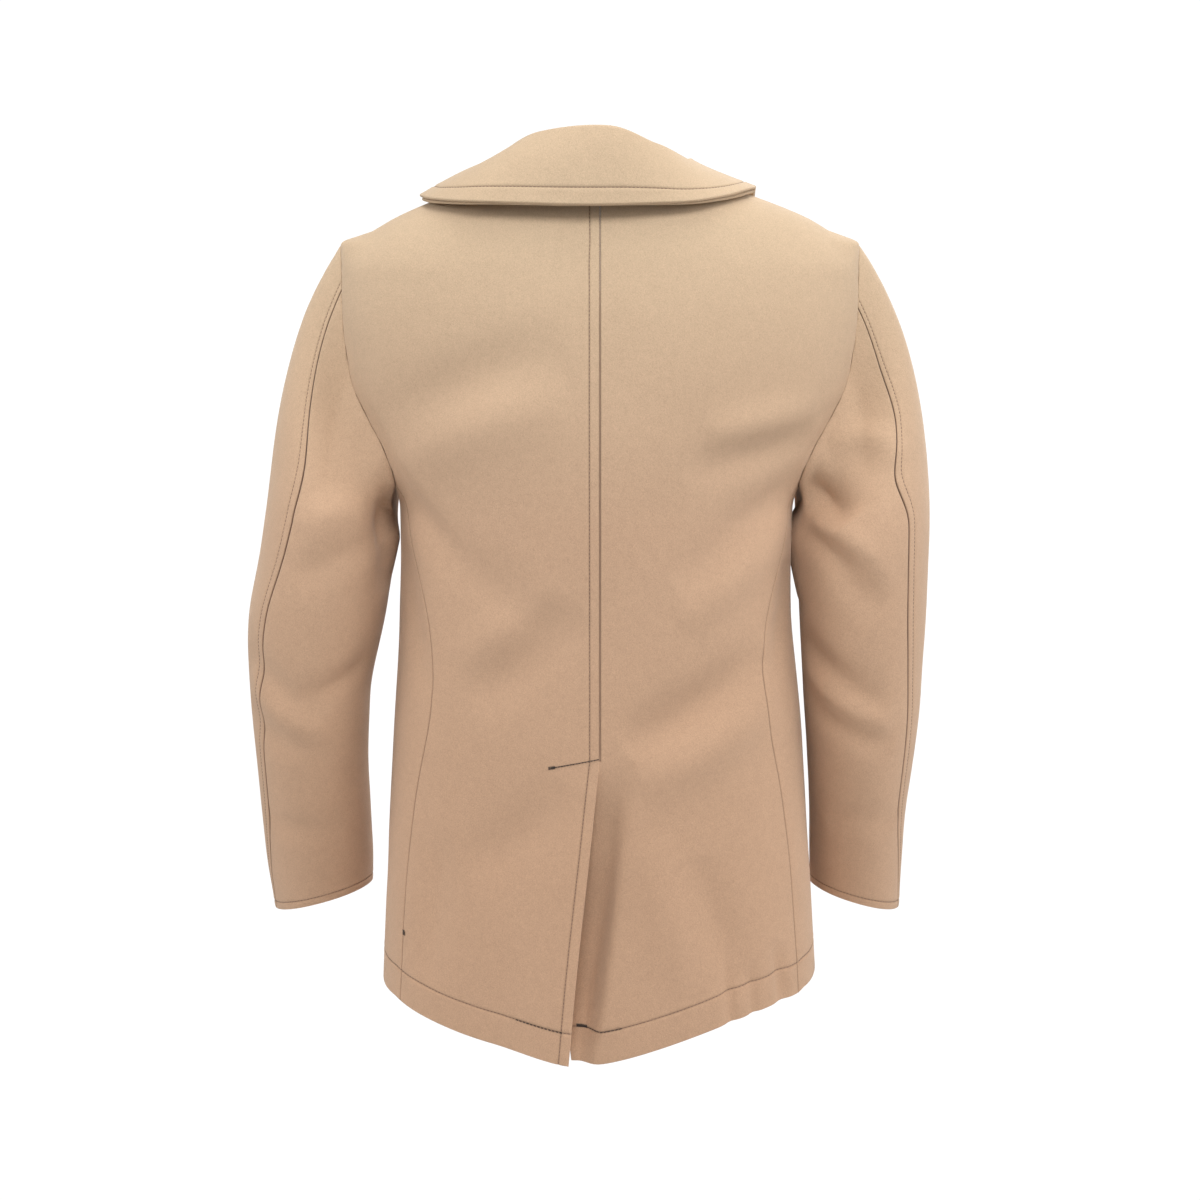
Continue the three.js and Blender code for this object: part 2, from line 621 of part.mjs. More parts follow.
const coat = new THREE.Group();
for (const [hand, side] of [["left", 1], ["right", -1]]) {
  const backSeam = (v) => sample(SLEEVE_BACK_SEAM[hand], v).deg;
  coat.add(backPanel(`back_${hand}`, side));
  coat.add(frontPanel(`front_${hand}`, side));
  coat.add(sleevePiece(`sleeve_top_${hand}`, side, () => SLEEVE_FRONT_SEAM, backSeam, 8));
  coat.add(sleevePiece(`sleeve_under_${hand}`, side, backSeam, () => SLEEVE_FRONT_SEAM + 360, 9));
  coat.add(lapel(`lapel_${hand}`, side > 0 ? LEFT_LAPEL : RIGHT_LAPEL, side));
  coat.add(pocketWelt(`pocket_welt_${hand}`, side));
}
coat.add(collarPiece("collar_stand", standPoint, 3, 0));
coat.add(collarPiece("collar_top", leafPoint, 8, 0));
coat.add(collarPiece("collar_under", (u, v) => leafPoint(u, lerp(1 / 3, 1, v)), 5, CLOTH + 3 * SEAM));
BUTTON.rows.forEach((z, row) => {
  BUTTON.columns.forEach((x, column) => {
    coat.add(button(`button_${column ? "left" : "right"}_${row + 1}`, x, z));
  });
});

export default coat;
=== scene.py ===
"""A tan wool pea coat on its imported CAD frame: thin cloth with creases, seams, stitching and buttons.

Lengths are millimetres, and metres only where a mesh or an object is made. The coat faces -Y, its wearer's
left is +X and the origin is the middle of the neck. A piece is worked out on its own side of the coat, side
1 for the wearer's left and -1 for the right, with x positive on it, and the right side's are mirrored."""
import math

import bmesh
import bpy
import numpy as np
from mathutils import Matrix, Vector, noise


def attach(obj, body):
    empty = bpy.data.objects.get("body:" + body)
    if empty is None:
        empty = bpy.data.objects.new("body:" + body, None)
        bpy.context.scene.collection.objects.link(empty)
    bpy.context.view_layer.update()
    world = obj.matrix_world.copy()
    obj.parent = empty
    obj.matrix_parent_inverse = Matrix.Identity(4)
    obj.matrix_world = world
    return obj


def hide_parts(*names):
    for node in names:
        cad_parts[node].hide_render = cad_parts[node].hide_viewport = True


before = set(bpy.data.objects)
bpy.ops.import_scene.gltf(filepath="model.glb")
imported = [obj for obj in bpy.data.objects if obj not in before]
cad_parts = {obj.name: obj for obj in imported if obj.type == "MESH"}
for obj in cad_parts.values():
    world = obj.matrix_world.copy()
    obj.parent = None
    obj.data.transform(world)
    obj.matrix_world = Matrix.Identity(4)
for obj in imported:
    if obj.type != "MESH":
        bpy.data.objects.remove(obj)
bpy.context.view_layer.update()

MM = 0.001
FAR = 99.0  # a distance that no seam or stitching reaches
CLOTH = 3.0  # how thick the cloth is
SEAM = 0.3  # between two pieces in the CAD
SEAM_DEG = 0.012  # half a seam as sewn, in degrees round the form,
SLEEVE_SEAM_DEG = 0.03  # in degrees round a sleeve,
CENTRE_SEAM = 0.03  # and in mm at the centre of the back
LAP = 7.0  # how far the left front stands over the right one
HEM_SIDE = -747.0  # the hem at the side
HEM_BACK_DROP = 45.0  # how much lower it is at the vent,
HEM_TILT = 8.5  # how much lower on one side,
HEM_FADE = 330.0  # and how far up the coat both fade out
HEM_STITCH = 30.0  # the hem's stitching above its edge
HEM_LINE = HEM_SIDE + HEM_STITCH
SHOULDER_Z = -64.0
ARMPIT_Z = -282.0
VENT_TOP = -503.0
BREAK_Z = -236.0  # where the left front starts to roll back
CROSS_Z = -126.0  # where the right one does
FRONT_EDGE = 88.0  # how far past the centre a front reaches
ROLL_NECK = (62.0, -38.0)  # where the roll line meets the collar, x and z
NECK_HALF = 76.0
SIDE_SEAM_ANGLE = 160.0  # where the side seam meets the armhole
SLEEVE_FRONT_SEAM = -112.0  # degrees round the sleeve
CAP_END = 0.34  # where the sleeve's cap becomes its tube, as a share of its length
SLEEVE_GAP = 0.15
LAPEL_ROLL = 4.6  # radius of a lapel's fold
LAPEL_LIFT = 6.6
LEAF_BULGE = 3.5
RIGHT_BULGE = -1.5  # the leaf lies flatter on the wearer's right
FOLD_RADIUS = 4.5  # radius of the collar's fold


class Table:
    """Named columns against the first one, on smooth curves that never overshoot."""

    def __init__(self, names, *rows):
        self.names = names.split()[1:]
        data = np.array(rows, float)
        self.x = data[:, 0]
        self.y = data[:, 1:]
        rise = np.diff(self.y, axis=0) / np.diff(self.x)[:, None]
        before, after = rise[:-1], rise[1:]
        total = np.where(before * after > 0, before + after, 1)
        inner = np.where(before * after > 0, 2 * before * after / total, 0)
        self.slope = np.vstack([rise[:1], inner, rise[-1:]])

    def __call__(self, at, name):
        k = self.names.index(name)
        x = np.clip(at, self.x[0], self.x[-1])
        i = np.clip(np.searchsorted(self.x, x) - 1, 0, len(self.x) - 2)
        width = self.x[i + 1] - self.x[i]
        t = (x - self.x[i]) / width
        y, slope = self.y[:, k], self.slope[:, k]
        return (
            y[i] * (1 + 2 * t) * (1 - t) ** 2
            + slope[i] * width * t * (1 - t) ** 2
            + y[i + 1] * t * t * (3 - 2 * t)
            + slope[i + 1] * width * t * t * (t - 1)
        )


BODY = Table(
    "z left right back front square",
    (-800, 213, 212, 135, 132, 2.5),
    (-750, 210, 209, 133, 130, 2.5),
    (-640, 203, 201, 126, 124, 2.45),
    (-500, 193, 189, 117, 118, 2.4),
    (-390, 186, 178, 113, 119, 2.35),
    (-300, 184, 177, 115, 123, 2.3),
    (-240, 206, 203, 116, 122, 2.3),
    (-180, 228, 227, 112, 117, 2.25),
    (-120, 234, 234, 103, 104, 2.15),
    (-64, 232, 232, 88, 84, 2.0),
    (-50, 209, 209, 83, 80, 2.0),
    (-30, 162, 162, 74, 72, 2.0),
    (-12, 108, 108, 64, 65, 2.0),
    (0, 80, 80, 57, 60, 2.0),
)
ARMHOLE = Table(
    "angle back front",
    (0, 0, 0),
    (30, 8.5, 10),
    (60, 12, 17),
    (90, 13, 22),
    (112, 18, 26),
    (132, 21.5, 27),
    (150, 18.5, 22),
    (165, 11.5, 13),
    (180, 0, 0),
)
SIDE_SEAM = Table(
    "z deg",
    (-800, 60),
    (-640, 59),
    (-560, 56),
    (-460, 50),
    (-400, 53),
    (-330, 65),
    (-275, 75.6),
)
VENT = Table(
    "z edge proud under sunk",
    (-800, 32, 13, 20, 12.6),
    (-740, 27, 12, 27, 21),
    (-650, 18, 9, 36, 21),
    (-560, 7, 4, 42, 11.55),
    (-511, 1, 0.6, 44, 7.98),
)
VENT_FOLD = {"x": 17, "z": -567, "slope": 0.162, "in": 8, "out": 9}  # the line where the underlap turns in
FLAP_FADE = 70.0  # how far from its edge the flap lies flat again
SLEEVE = {
    1: Table(
        "z x y wide deep slope",
        (-698, 275, -48, 48.5, 57, 0.26),
        (-650, 275, -34, 50.5, 58, 0.2),
        (-585, 275, -16, 51, 62, 0.14),
        (-486, 273.5, 0, 55, 69, 0.06),
        (-390, 262, 3, 63.5, 76, 0.03),
        (-336, 251, 2, 63, 80, 0.02),
    ),
    -1: Table(
        "z x y wide deep slope",
        (-698, 253, -48, 44, 57, 0.26),
        (-650, 250.5, -34, 45, 58, 0.2),
        (-585, 248, -16, 47, 62, 0.14),
        (-486, 247, 0, 54, 69, 0.06),
        (-390, 244, 3, 58.5, 76, 0.03),
        (-336, 241, 2, 61.5, 80, 0.02),
    ),
}
SLEEVE_BACK_SEAM = {
    1: Table(
        "t deg",
        (0, 50), (0.12, 66), (0.2, 71), (0.28, 65), (0.36, 59),
        (0.45, 52), (0.62, 46), (0.78, 43), (0.9, 34), (1, 24),
    ),
    -1: Table(
        "t deg",
        (0, 60), (0.08, 66), (0.15, 63), (0.22, 70), (0.3, 57),
        (0.42, 57), (0.52, 54), (0.62, 49), (0.78, 45), (0.9, 34), (1, 24),
    ),
}
COLLAR = Table(
    "deg neckX neckY neckZ foldX foldY foldZ edgeX edgeY edgeZ",
    (-35, -46, 46, 1, -45, 53, 31, -86, 80, -27),
    (0, 0, 57, 1, 0, 65, 36, 0, 92, -30),
    (35, 46, 46, 1, 45, 53, 31, 86, 80, -27),
    (70, 75, 19, 1, 74, 24, 16, 141, 36, -19),
    (95, 79, -5, 1, 78, -6, 13, 151, -12, -16),
    (110, 76, -25, -1, 76, -23, 11, 149, -36, -20),
    (125, 67.5, -46, -9, 72, -40, 7, 143, -58, -33),
    (150, 57.5, -69, -33, 60, -72, -19, 127, -84, -56),
)
COLLAR_SHIFT = {"fold": 3, "edge": 11}
COLLAR_FALL = {1: {"fold": 0, "edge": 3.5}, -1: {"fold": 9, "edge": -3.5}}
COLLAR_HALF = 290.0  # millimetres of collar from its middle to an end
LEAF_WIDE = 100.0
LEAF_STITCH = 16.0  # the stitching in from the leaf's edge
LAPEL = {
    1: ((-230, -72, -229), (-196, -10, -203), (-160, 52, -166), (-118, 108, -124), (-84, 138, -98),
        (-60, 104, -78)),
    -1: ((-113, 36, -157), (-96, 84, -141), (-79, 126, -107), (-70, 138, -98), (-60, 104, -78)),
}
LAPEL_SIZE = {1: {"wide": 110, "tall": 190}, -1: {"wide": 70, "tall": 70}}
POCKET = {"top": (128, -470), "foot": (146, -632), "wide": 26, "thick": 2, "stitch": 5}
BUTTON = {"radius": 15, "thick": 4, "rim": 3, "dish": 1.2, "columns": (-64, 72), "rows": (-286, -398, -510)}
HOLE = {"radius": 1.15, "off": 2.3}  # a button's holes, and how far they are off its middle each way
FLAT = {  # each piece's cut as sewn, flat: width and length in metres, and area in square metres
    "back_left": (0.245, 0.8, 0.156),
    "back_right": (0.27, 0.8, 0.165),
    "collar_stand": (0.035, 0.35, 0.0055),
    "collar_top": (0.13, 0.46, 0.036),
    "collar_under": (0.11, 0.44, 0.028),
    "front_left": (0.46, 0.77, 0.272),
    "front_right": (0.455, 0.76, 0.269),
    "lapel_left": (0.13, 0.28, 0.0158),
    "lapel_right": (0.11, 0.15, 0.0086),
    "pocket_welt_left": (0.029, 0.17, 0.0047),
    "pocket_welt_right": (0.029, 0.17, 0.0047),
    "sleeve_top_left": (0.21, 0.66, 0.098),
    "sleeve_top_right": (0.215, 0.66, 0.103),
    "sleeve_under_left": (0.19, 0.62, 0.091),
    "sleeve_under_right": (0.195, 0.62, 0.095),
}


def ease(x, start, end):
    t = np.clip((x - start) / (end - start), 0, 1)
    return t * t * (3 - 2 * t)


def bell(x, width):
    return np.exp(-((x / width) ** 2))


def power(x, p):
    return np.sign(x) * np.abs(x) ** p


def lerp(a, b, t):
    return a + (b - a) * t


def points(x, y, z):
    return np.stack(np.broadcast_arrays(x, y, z), axis=-1).astype(float)


def unit(v):
    return v / np.maximum(np.linalg.norm(v, axis=-1, keepdims=True), 1e-9)


def normals_of(place, u, v, du, dv):
    """Normals of the surface place(u, v), from its neighbouring points."""
    across = place(u + du, v) - place(u - du, v)
    along = place(u, v + dv) - place(u, v - dv)
    return unit(np.cross(across, along))


# ---- The form under the cloth, as in the CAD ----


def form_point(side, deg, z):
    s, c = np.sin(np.radians(deg)), np.cos(np.radians(deg))
    half = lerp(BODY(z, "right"), BODY(z, "left"), (side * s + 1) / 2)
    depth = np.where(c > 0, BODY(z, "back"), BODY(z, "front"))
    k = 2 / BODY(z, "square")
    return points(half * power(s, k), depth * power(c, k), z)


def form_normal(side, deg, z):
    return -normals_of(lambda u, v: form_point(side, u, v), deg, np.minimum(z, -2), 1.2, 1.5)


def on_form(side, deg, z, out=0.0):
    return form_point(side, deg, z) + form_normal(side, deg, z) * np.asarray(out)[..., None]


def deg_at(side, x, z, front=False):
    """Degrees round the form of a place x across it, on the back or the front."""
    x, z = np.broadcast_arrays(np.asarray(x, float), np.asarray(z, float))
    deg = np.zeros(x.shape)
    for _ in range(4):
        half = lerp(BODY(z, "right"), BODY(z, "left"), (side * np.sin(np.radians(deg)) + 1) / 2)
        deg = np.degrees(np.arcsin(power(np.clip(x / half, -1, 1), BODY(z, "square") / 2)))
    return 180 - deg if front else deg


def armhole(angle):
    """The armhole's loop: 0 is the shoulder point, 90 its back, 180 the armpit and 270 its front."""
    turn = np.mod(angle, 360)
    half_turn = np.minimum(turn, 360 - turn)
    reach = np.where(turn > 180, ARMHOLE(half_turn, "front"), -ARMHOLE(half_turn, "back"))
    middle, half = (SHOULDER_Z + ARMPIT_Z) / 2, (SHOULDER_Z - ARMPIT_Z) / 2
    return 90 + reach, middle + half * np.cos(np.radians(turn))


def armhole_angle(z):
    middle, half = (SHOULDER_Z + ARMPIT_Z) / 2, (SHOULDER_Z - ARMPIT_Z) / 2
    return np.degrees(np.arccos(np.clip((z - middle) / half, -1, 1)))


SIDE_SEAM_TOP = float(armhole(SIDE_SEAM_ANGLE)[1])


def dropped(side, deg, z):
    """The hem is lowest beside the vent; its fall fades out up the panel."""
    across = np.sin(np.radians(deg))
    share = np.where(np.cos(np.radians(deg)) > 0, np.clip(1 - across / 0.9, 0, 1), 0)
    tilt = across if side > 0 else -np.maximum(0, np.sin(np.radians(3 * np.minimum(deg, 60))))
    fall = HEM_BACK_DROP * share + HEM_TILT * tilt
    return z - fall * (1 - ease(z, HEM_SIDE, HEM_SIDE + HEM_FADE))


def sleeve_ring(side, angle, z):
    """A point of the sleeve at height z; angle 0 is the outside of the arm and 90 its back."""
    ring = SLEEVE[side]
    x = ring(z, "wide") * np.cos(np.radians(angle))
    y = ring(z, "deep") * np.sin(np.radians(angle))
    slope = ring(z, "slope")
    return points(ring(z, "x") + x, ring(z, "y") + y, z - slope * x + slope * 0.6 * y)


def sleeve_point(side, angle, t):
    """The sleeve from the armhole, t = 0, to the cuff, t = 1."""
    angle, t = np.broadcast_arrays(np.asarray(angle, float), np.asarray(t, float))
    cuff, top = SLEEVE[side].x[0], SLEEVE[side].x[-1]
    low = sleeve_ring(side, angle, lerp(top, cuff, np.clip((t - CAP_END) / (1 - CAP_END), 0, 1)))
    deg, z = armhole(angle)
    start = form_point(side, deg, z)
    end = sleeve_ring(side, angle, top)
    reach = np.linalg.norm(end - start, axis=-1, keepdims=True)
    out = 0.5 + 0.14 * np.maximum(0, np.cos(np.radians(angle)))
    leave = points(out, 0, -0.86) * reach
    arrive = unit(sleeve_ring(side, angle, top - 6) - end) * reach
    s = (np.maximum(t, 0) / CAP_END)[..., None]
    cap = (
        (start + leave * SLEEVE_GAP / reach) * (1 + 2 * s) * (1 - s) ** 2
        + leave * s * (1 - s) ** 2
        + end * s * s * (3 - 2 * s)
        + arrive * s * s * (s - 1)
    )
    return np.where((t >= CAP_END)[..., None], low, cap)


def sleeve_normal(side, angle, t):
    return -normals_of(lambda u, v: sleeve_point(side, u, v), angle, np.clip(t, 0.012, 0.99), 2, 0.01)


# ---- Creases: soft troughs and ridges placed one by one ----

# Each runs from one place to another past a third, on the body as x across and z up with x positive to the
# wearer's left, and on a sleeve as degrees round the arm and t down it. A depth under 0 is a trough.
BODY_CREASES = [  # face, start, past, end, width, depth
    ("back", (190, -217), (123, -172), (30, -150), 26, -7.5),
    ("back", (180, -256), (112, -214), (28, -192), 24, 4.5),
    ("back", (186, -271), (122, -330), (40, -399), 22, -7.5),
    ("back", (178, -240), (140, -300), (70, -372), 17, 4),
    ("back", (-188, -226), (-131, -246), (-74, -256), 17, -6.5),
    ("back", (-190, -200), (-140, -214), (-88, -224), 15, 6),
    ("back", (-180, -262), (-122, -306), (-66, -356), 20, -6.5),
    ("back", (-170, -300), (-128, -350), (-70, -392), 18, 5),
    ("back", (-22, -500), (-79, -466), (-146, -420), 19, -10.5),
    ("back", (-36, -540), (-93, -509), (-160, -462), 20, 6),
    ("back", (116, -462), (65, -428), (16, -376), 22, -6),
    ("back", (130, -430), (88, -400), (34, -346), 18, 4),
    ("back", (26, -535), (74, -592), (124, -612), 24, -5),
    ("back", (-84, -600), (-108, -663), (-128, -735), 20, -6),
    ("back", (-44, -580), (-60, -654), (-76, -730), 18, 4.5),
    ("back", (142, -585), (152, -655), (163, -735), 17, -4.5),
    ("back", (-116, -700), (-119, -735), (-122, -790), 6, -3.5),
    ("back", (-137, -704), (-141, -735), (-143, -785), 5, -3),
    ("back", (-160, -690), (-168, -725), (-172, -770), 8, -4.5),
    ("back", (176, -330), (168, -400), (158, -462), 16, -4.5),
    ("back", (-170, -340), (-164, -400), (-156, -450), 15, -4.5),
    ("front", (168, -262), (120, -272), (74, -284), 17, -7.5),
    ("front", (172, -230), (128, -240), (84, -262), 15, 4.5),
    ("front", (-166, -256), (-122, -276), (-66, -288), 18, -7.5),
    ("front", (160, -330), (110, -372), (70, -396), 20, -6),
    ("front", (-158, -340), (-112, -380), (-64, -396), 19, -6),
    ("front", (118, -520), (126, -620), (140, -740), 24, -6),
    ("front", (-122, -540), (-130, -640), (-146, -735), 22, -6),
    ("front", (30, -540), (26, -640), (34, -745), 26, -4.5),
    ("front", (-40, -420), (-20, -450), (20, -470), 18, -4.5),
]
SLEEVE_CREASES = {  # start, past, end, width, depth
    1: [
        ((166, 0.04), (146, 0.2), (168, 0.42), 21, -13),
        ((178, 0.24), (182, 0.32), (180, 0.4), 16, 3),
        ((146, 0.3), (112, 0.33), (76, 0.38), 16, -5),
        ((130, 0.2), (105, 0.24), (72, 0.3), 16, 5),
        ((26, 0.5), (70, 0.56), (116, 0.62), 16, -4.5),
        ((22, 0.6), (60, 0.66), (124, 0.7), 15, -3.5),
        ((28, 0.55), (66, 0.61), (118, 0.66), 13, 2),
        ((160, 0.52), (130, 0.57), (92, 0.58), 12, -5.5),
        ((-20, 0.2), (-60, 0.25), (-100, 0.33), 15, -7),
        ((-40, 0.5), (-90, 0.52), (-140, 0.48), 14, -7),
        ((-30, 0.6), (-80, 0.63), (-150, 0.58), 13, -5.5),
        ((40, 0.8), (80, 0.84), (130, 0.85), 16, -3.5),
    ],
    -1: [
        ((156, 0.04), (132, 0.16), (112, 0.26), 18, -18),
        ((184, 0.12), (182, 0.28), (180, 0.44), 22, 8),
        ((120, 0.04), (96, 0.11), (60, 0.22), 14, 5),
        ((164, 0.24), (124, 0.33), (84, 0.44), 15, -8),
        ((150, 0.22), (118, 0.28), (74, 0.38), 11, 4),
        ((170, 0.49), (124, 0.55), (78, 0.6), 15, -7),
        ((160, 0.6), (112, 0.66), (66, 0.67), 13, -5.5),
        ((166, 0.55), (118, 0.6), (70, 0.63), 11, 3.5),
        ((-24, 0.22), (-66, 0.28), (-104, 0.35), 15, -7),
        ((-36, 0.48), (-84, 0.52), (-138, 0.5), 14, -7),
        ((-30, 0.62), (-86, 0.64), (-146, 0.6), 13, -5.5),
        ((50, 0.82), (90, 0.8), (140, 0.84), 16, -3.5),
    ],
}
SHOULDER_ROUND = 30.0  # how far up and down the form is averaged at the shoulder point,
SHOULDER_REACH = 45.0  # and how far from it that fades out
PANEL_NOISE = ((0.0075, 1.5), (0.019, 0.55))  # how fine a cloth's unevenness is, per mm, and how deep, in mm


def stroke(place, start, past, end):
    s = np.linspace(0, 1, 15)[:, None]
    a, b, c = (np.array(p, float) for p in (start, past, end))
    way = a * (1 - s) ** 2 + 2 * b * s * (1 - s) + c * s * s
    return place(way[:, 0], way[:, 1])


def pressed(where, line, width, depth):
    """How far a crease along a line moves each point: deepest in the middle of its length and width."""
    start, run = line[:-1], np.diff(line, axis=0)
    away = where[:, None] - start
    share = np.clip(np.sum(away * run, axis=2) / np.sum(run * run, axis=1), 0, 1)
    gap = np.linalg.norm(away - share[..., None] * run, axis=2)
    near = np.argmin(gap, axis=1)
    row = np.arange(len(where))
    along = (near + share[row, near]) / len(run)
    taper = np.sin(np.pi * np.clip(along, 0, 1)) ** 0.7
    return depth * taper * bell(gap[row, near], width)


def uneven(where, octaves, shift=0.0):
    total = np.zeros(len(where))
    for fine, depth in octaves:
        spots = where * fine + shift
        total += depth * np.array([noise.noise(Vector(p)) for p in spots])
    return total


def armhole_distance(side, where):
    deg, z = armhole(np.linspace(0, 360, 121))
    loop = form_point(side, deg, z)
    return np.sqrt(((where[:, None] - loop[None]) ** 2).sum(axis=2).min(axis=1))


def body_place(x, z):
    """A place on the back of the coat, x positive to the wearer's left."""
    return form_point(1, deg_at(1, x, z), z)


def front_place(x, z):
    return form_point(1, deg_at(1, x, z, True), z)


def shoulder_round(side, where):
    """Rounds the form over from the flat of the back and chest to the slope of the shoulder."""
    x, z = where[:, 0], where[:, 2]
    deg = np.where(where[:, 1] > 0, deg_at(side, x, z), deg_at(side, x, z, True))
    reach = SHOULDER_ROUND * bell(z - SHOULDER_Z, SHOULDER_REACH)
    steps = [form_point(side, deg, np.minimum(z + step * reach, -0.5)) for step in np.linspace(-1, 1, 9)]
    fade = ease(armhole_distance(side, where), 1, 30) * ease(-z, 2, 20)
    return (np.mean(steps, axis=0) - form_point(side, deg, z)) * fade[:, None]


def body_relief(side, where):
    """How far the cloth of the body stands off the form at each point, worked out on its true side."""
    true = where * (side, 1, 1)
    move = uneven(true, PANEL_NOISE)
    for face, start, past, end, width, depth in BODY_CREASES:
        place = body_place if face == "back" else front_place
        move += pressed(true, stroke(place, start, past, end), width, depth)
    return move * ease(armhole_distance(side, where), 1, 14) * ease(-where[:, 2], 2, 40)


def sleeve_relief(side, where):
    move = uneven(where, PANEL_NOISE, 7.0 * side)
    for start, past, end, width, depth in SLEEVE_CREASES[side]:
        line = stroke(lambda a, t: sleeve_point(side, a, t), start, past, end)
        move += pressed(where, line, width, depth)
    return move * ease(armhole_distance(side, where), 1, 12)


# ---- Grids of cloth ----

EDGE = (0, 0.25, 0.7, 1.2, 1.8, 3, 5, 7, 8, 9, 10, 11, 13.5)  # places in from an edge, fine at its stitching
EDGE_STITCH = 9.0  # an edge's stitching in from it


def offsets(width, first, last, step):
    """Places across rows of these widths: as listed near each end, and even between."""
    width = np.asarray(width, float)[:, None]
    start = np.array(first)[None] * np.minimum(1, 0.45 * width / first[-1])
    end = width - np.array(last[::-1])[None] * np.minimum(1, 0.45 * width / last[-1])
    count = max(2, round((width.max() - first[-1] - last[-1]) / step))
    share = np.linspace(0, 1, count + 1)[1:-1]
    middle = start[:, -1:] + (end[:, :1] - start[:, -1:]) * share
    return np.hstack([start, middle, end])


def spread(place, start, end, last=EDGE, step=4.5):
    """Parameters across each row at set distances along the surface, with those distances from both ends."""
    param = lerp(start[:, None], end[:, None], np.linspace(0, 1, 81))
    run = np.linalg.norm(np.diff(place(param), axis=1), axis=2)
    run = np.hstack([np.zeros((len(run), 1)), np.cumsum(run, axis=1)])
    at = offsets(run[:, -1], EDGE, last, step)
    found = np.stack([np.interp(a, r, p) for a, r, p in zip(at, run, param)])
    return found, at, run[:, -1:] - at


def grid_faces(rows, columns, start=0):
    j, i = np.meshgrid(np.arange(rows - 1), np.arange(columns - 1), indexing="ij")
    a = (start + j * columns + i).ravel()
    return np.stack([a, a + 1, a + columns + 1, a + columns], axis=1)


def rolled(distance, radius):
    """How far an edge turns in, at each distance from it."""
    d = np.clip(distance, 0, radius)
    return 0.86 * (radius - np.sqrt(radius**2 - (radius - d) ** 2))


class Cloth:
    """A piece of cloth: its face's points and normals, the faces that join them, and how it is worked."""

    def __init__(self, name, side, where, normals, faces, thick=CLOTH):
        self.name, self.side, self.thick = name, side, thick
        self.shape = where.shape[:-1]
        self.where = where.reshape(-1, 3)
        self.normals = normals.reshape(-1, 3)
        self.faces = faces
        self.dip = np.zeros(len(self.where))  # the face turned or pressed in
        self.lift = np.zeros(len(self.where))  # the back turned in
        # dark holds painted shade and dirt in the seams and along the stitching
        self.dark = np.zeros(len(self.where))  # 1 in the bottom of a seam

    def move(self, relief):
        self.where = self.where + self.normals * relief[:, None]

    def seam(self, distance, depth=1.0, dark=0.8):
        d = distance.ravel()
        self.dip = np.maximum(self.dip, rolled(d, 1.7) * depth)
        # painted shade and dirt in the seam's groove
        self.dark = np.maximum(self.dark, bell(d, 0.8) * dark)

    def free(self, distance):
        turn = rolled(distance.ravel(), self.thick / 2)
        self.dip = np.maximum(self.dip, turn)
        self.lift = np.maximum(self.lift, turn)

    def stitched(self, distance, depth=0.45, dark=0.45):
        """Pressed in along a line of stitching, signed distances from it, with the cloth proud beside it and
        painted shade and dirt along it.
        """
        d = distance.ravel()
        self.dip = self.dip + depth * bell(d, 0.95) - 0.35 * depth * bell(np.abs(d) - 3.2, 1.8)
        self.dark = np.maximum(self.dark, dark * bell(d, 0.7))

    def face_points(self):
        """The face as made, where it is in the coat."""
        return (self.where - self.normals * self.dip[:, None]) * (self.side, 1, 1)

    def face_grid(self):
        """The face as a grid, with its normals."""
        normals = self.normals * (self.side, 1, 1)
        return self.face_points().reshape(*self.shape, 3), normals.reshape(*self.shape, 3)

    def build(self, material):
        """A closed wall: the face, the back behind it, and a rim."""
        front = self.face_points()
        back = (self.where - self.normals * (self.thick - self.lift)[:, None]) * (self.side, 1, 1)
        count = len(front)
        faces = self.faces
        a, b, c, d = (front[faces[:, k]] for k in range(4))
        facing = np.cross(c - a, d - b)
        outward = (self.normals * (self.side, 1, 1))[faces[:, 0]]
        if np.sum(facing * outward) < 0:
            faces = faces[:, ::-1]
        edges = np.concatenate([faces[:, [k, (k + 1) % 4]] for k in range(4)])
        keys = edges[:, 0] * count + edges[:, 1]
        twins = edges[:, 1] * count + edges[:, 0]
        rim = edges[~np.isin(keys, twins)]
        rims = np.stack([rim[:, 1], rim[:, 0], rim[:, 0] + count, rim[:, 1] + count], axis=1)
        every = np.concatenate([faces, faces[:, ::-1] + count, rims])
        # the seams' painted shade and dirt, fainter on the cloth's back
        dark = np.concatenate([self.dark, 0.35 * self.dark])
        mesh_object(self.name, np.concatenate([front, back]), every, material, dark)


def placed(name, data):
    made = bpy.data.objects.new(name, data)
    bpy.context.scene.collection.objects.link(made)
    return made


def mesh_object(name, where, faces, material, dark=None):
    mesh = bpy.data.meshes.new(name)
    mesh.vertices.add(len(where))
    mesh.vertices.foreach_set("co", (where * MM).astype(np.float32).ravel())
    corners = np.asarray(faces, np.int32)
    mesh.loops.add(corners.size)
    mesh.loops.foreach_set("vertex_index", corners.ravel())
    mesh.polygons.add(len(corners))
    mesh.polygons.foreach_set("loop_start", np.arange(len(corners), dtype=np.int32) * corners.shape[1])
    mesh.update(calc_edges=True)
    mesh.polygons.foreach_set("use_smooth", np.ones(len(corners), bool))
    # the seams' painted shade and dirt, which the cloth's material reads
    if dark is not None:
        mesh.attributes.new("seam", "FLOAT", "POINT").data.foreach_set("value", dark.astype(np.float32))
    mesh.materials.append(material)
    mesh.validate()
    made = placed(name, mesh)
    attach(made, "root")
    return made


# ---- Body panels ----

HEM = (0, 0.25, 0.7, 1.2, 1.8, 4, 8, 12, 16, 20, 24, 27, 28.5, 29.3, 30, 30.7, 31.5, 33, 36)
TOP = (0, 0.25, 0.7, 1.2, 1.8, 3, 5.5, 9)
AT_SHOULDER = (-78, -58, 1.6)  # heights that are closer together, from, to and apart
AT_VENT_TOP = (-520, -496, 1.5)
AT_CROSSING = (-132, -120, 2)
HAND = {1: "left", -1: "right"}


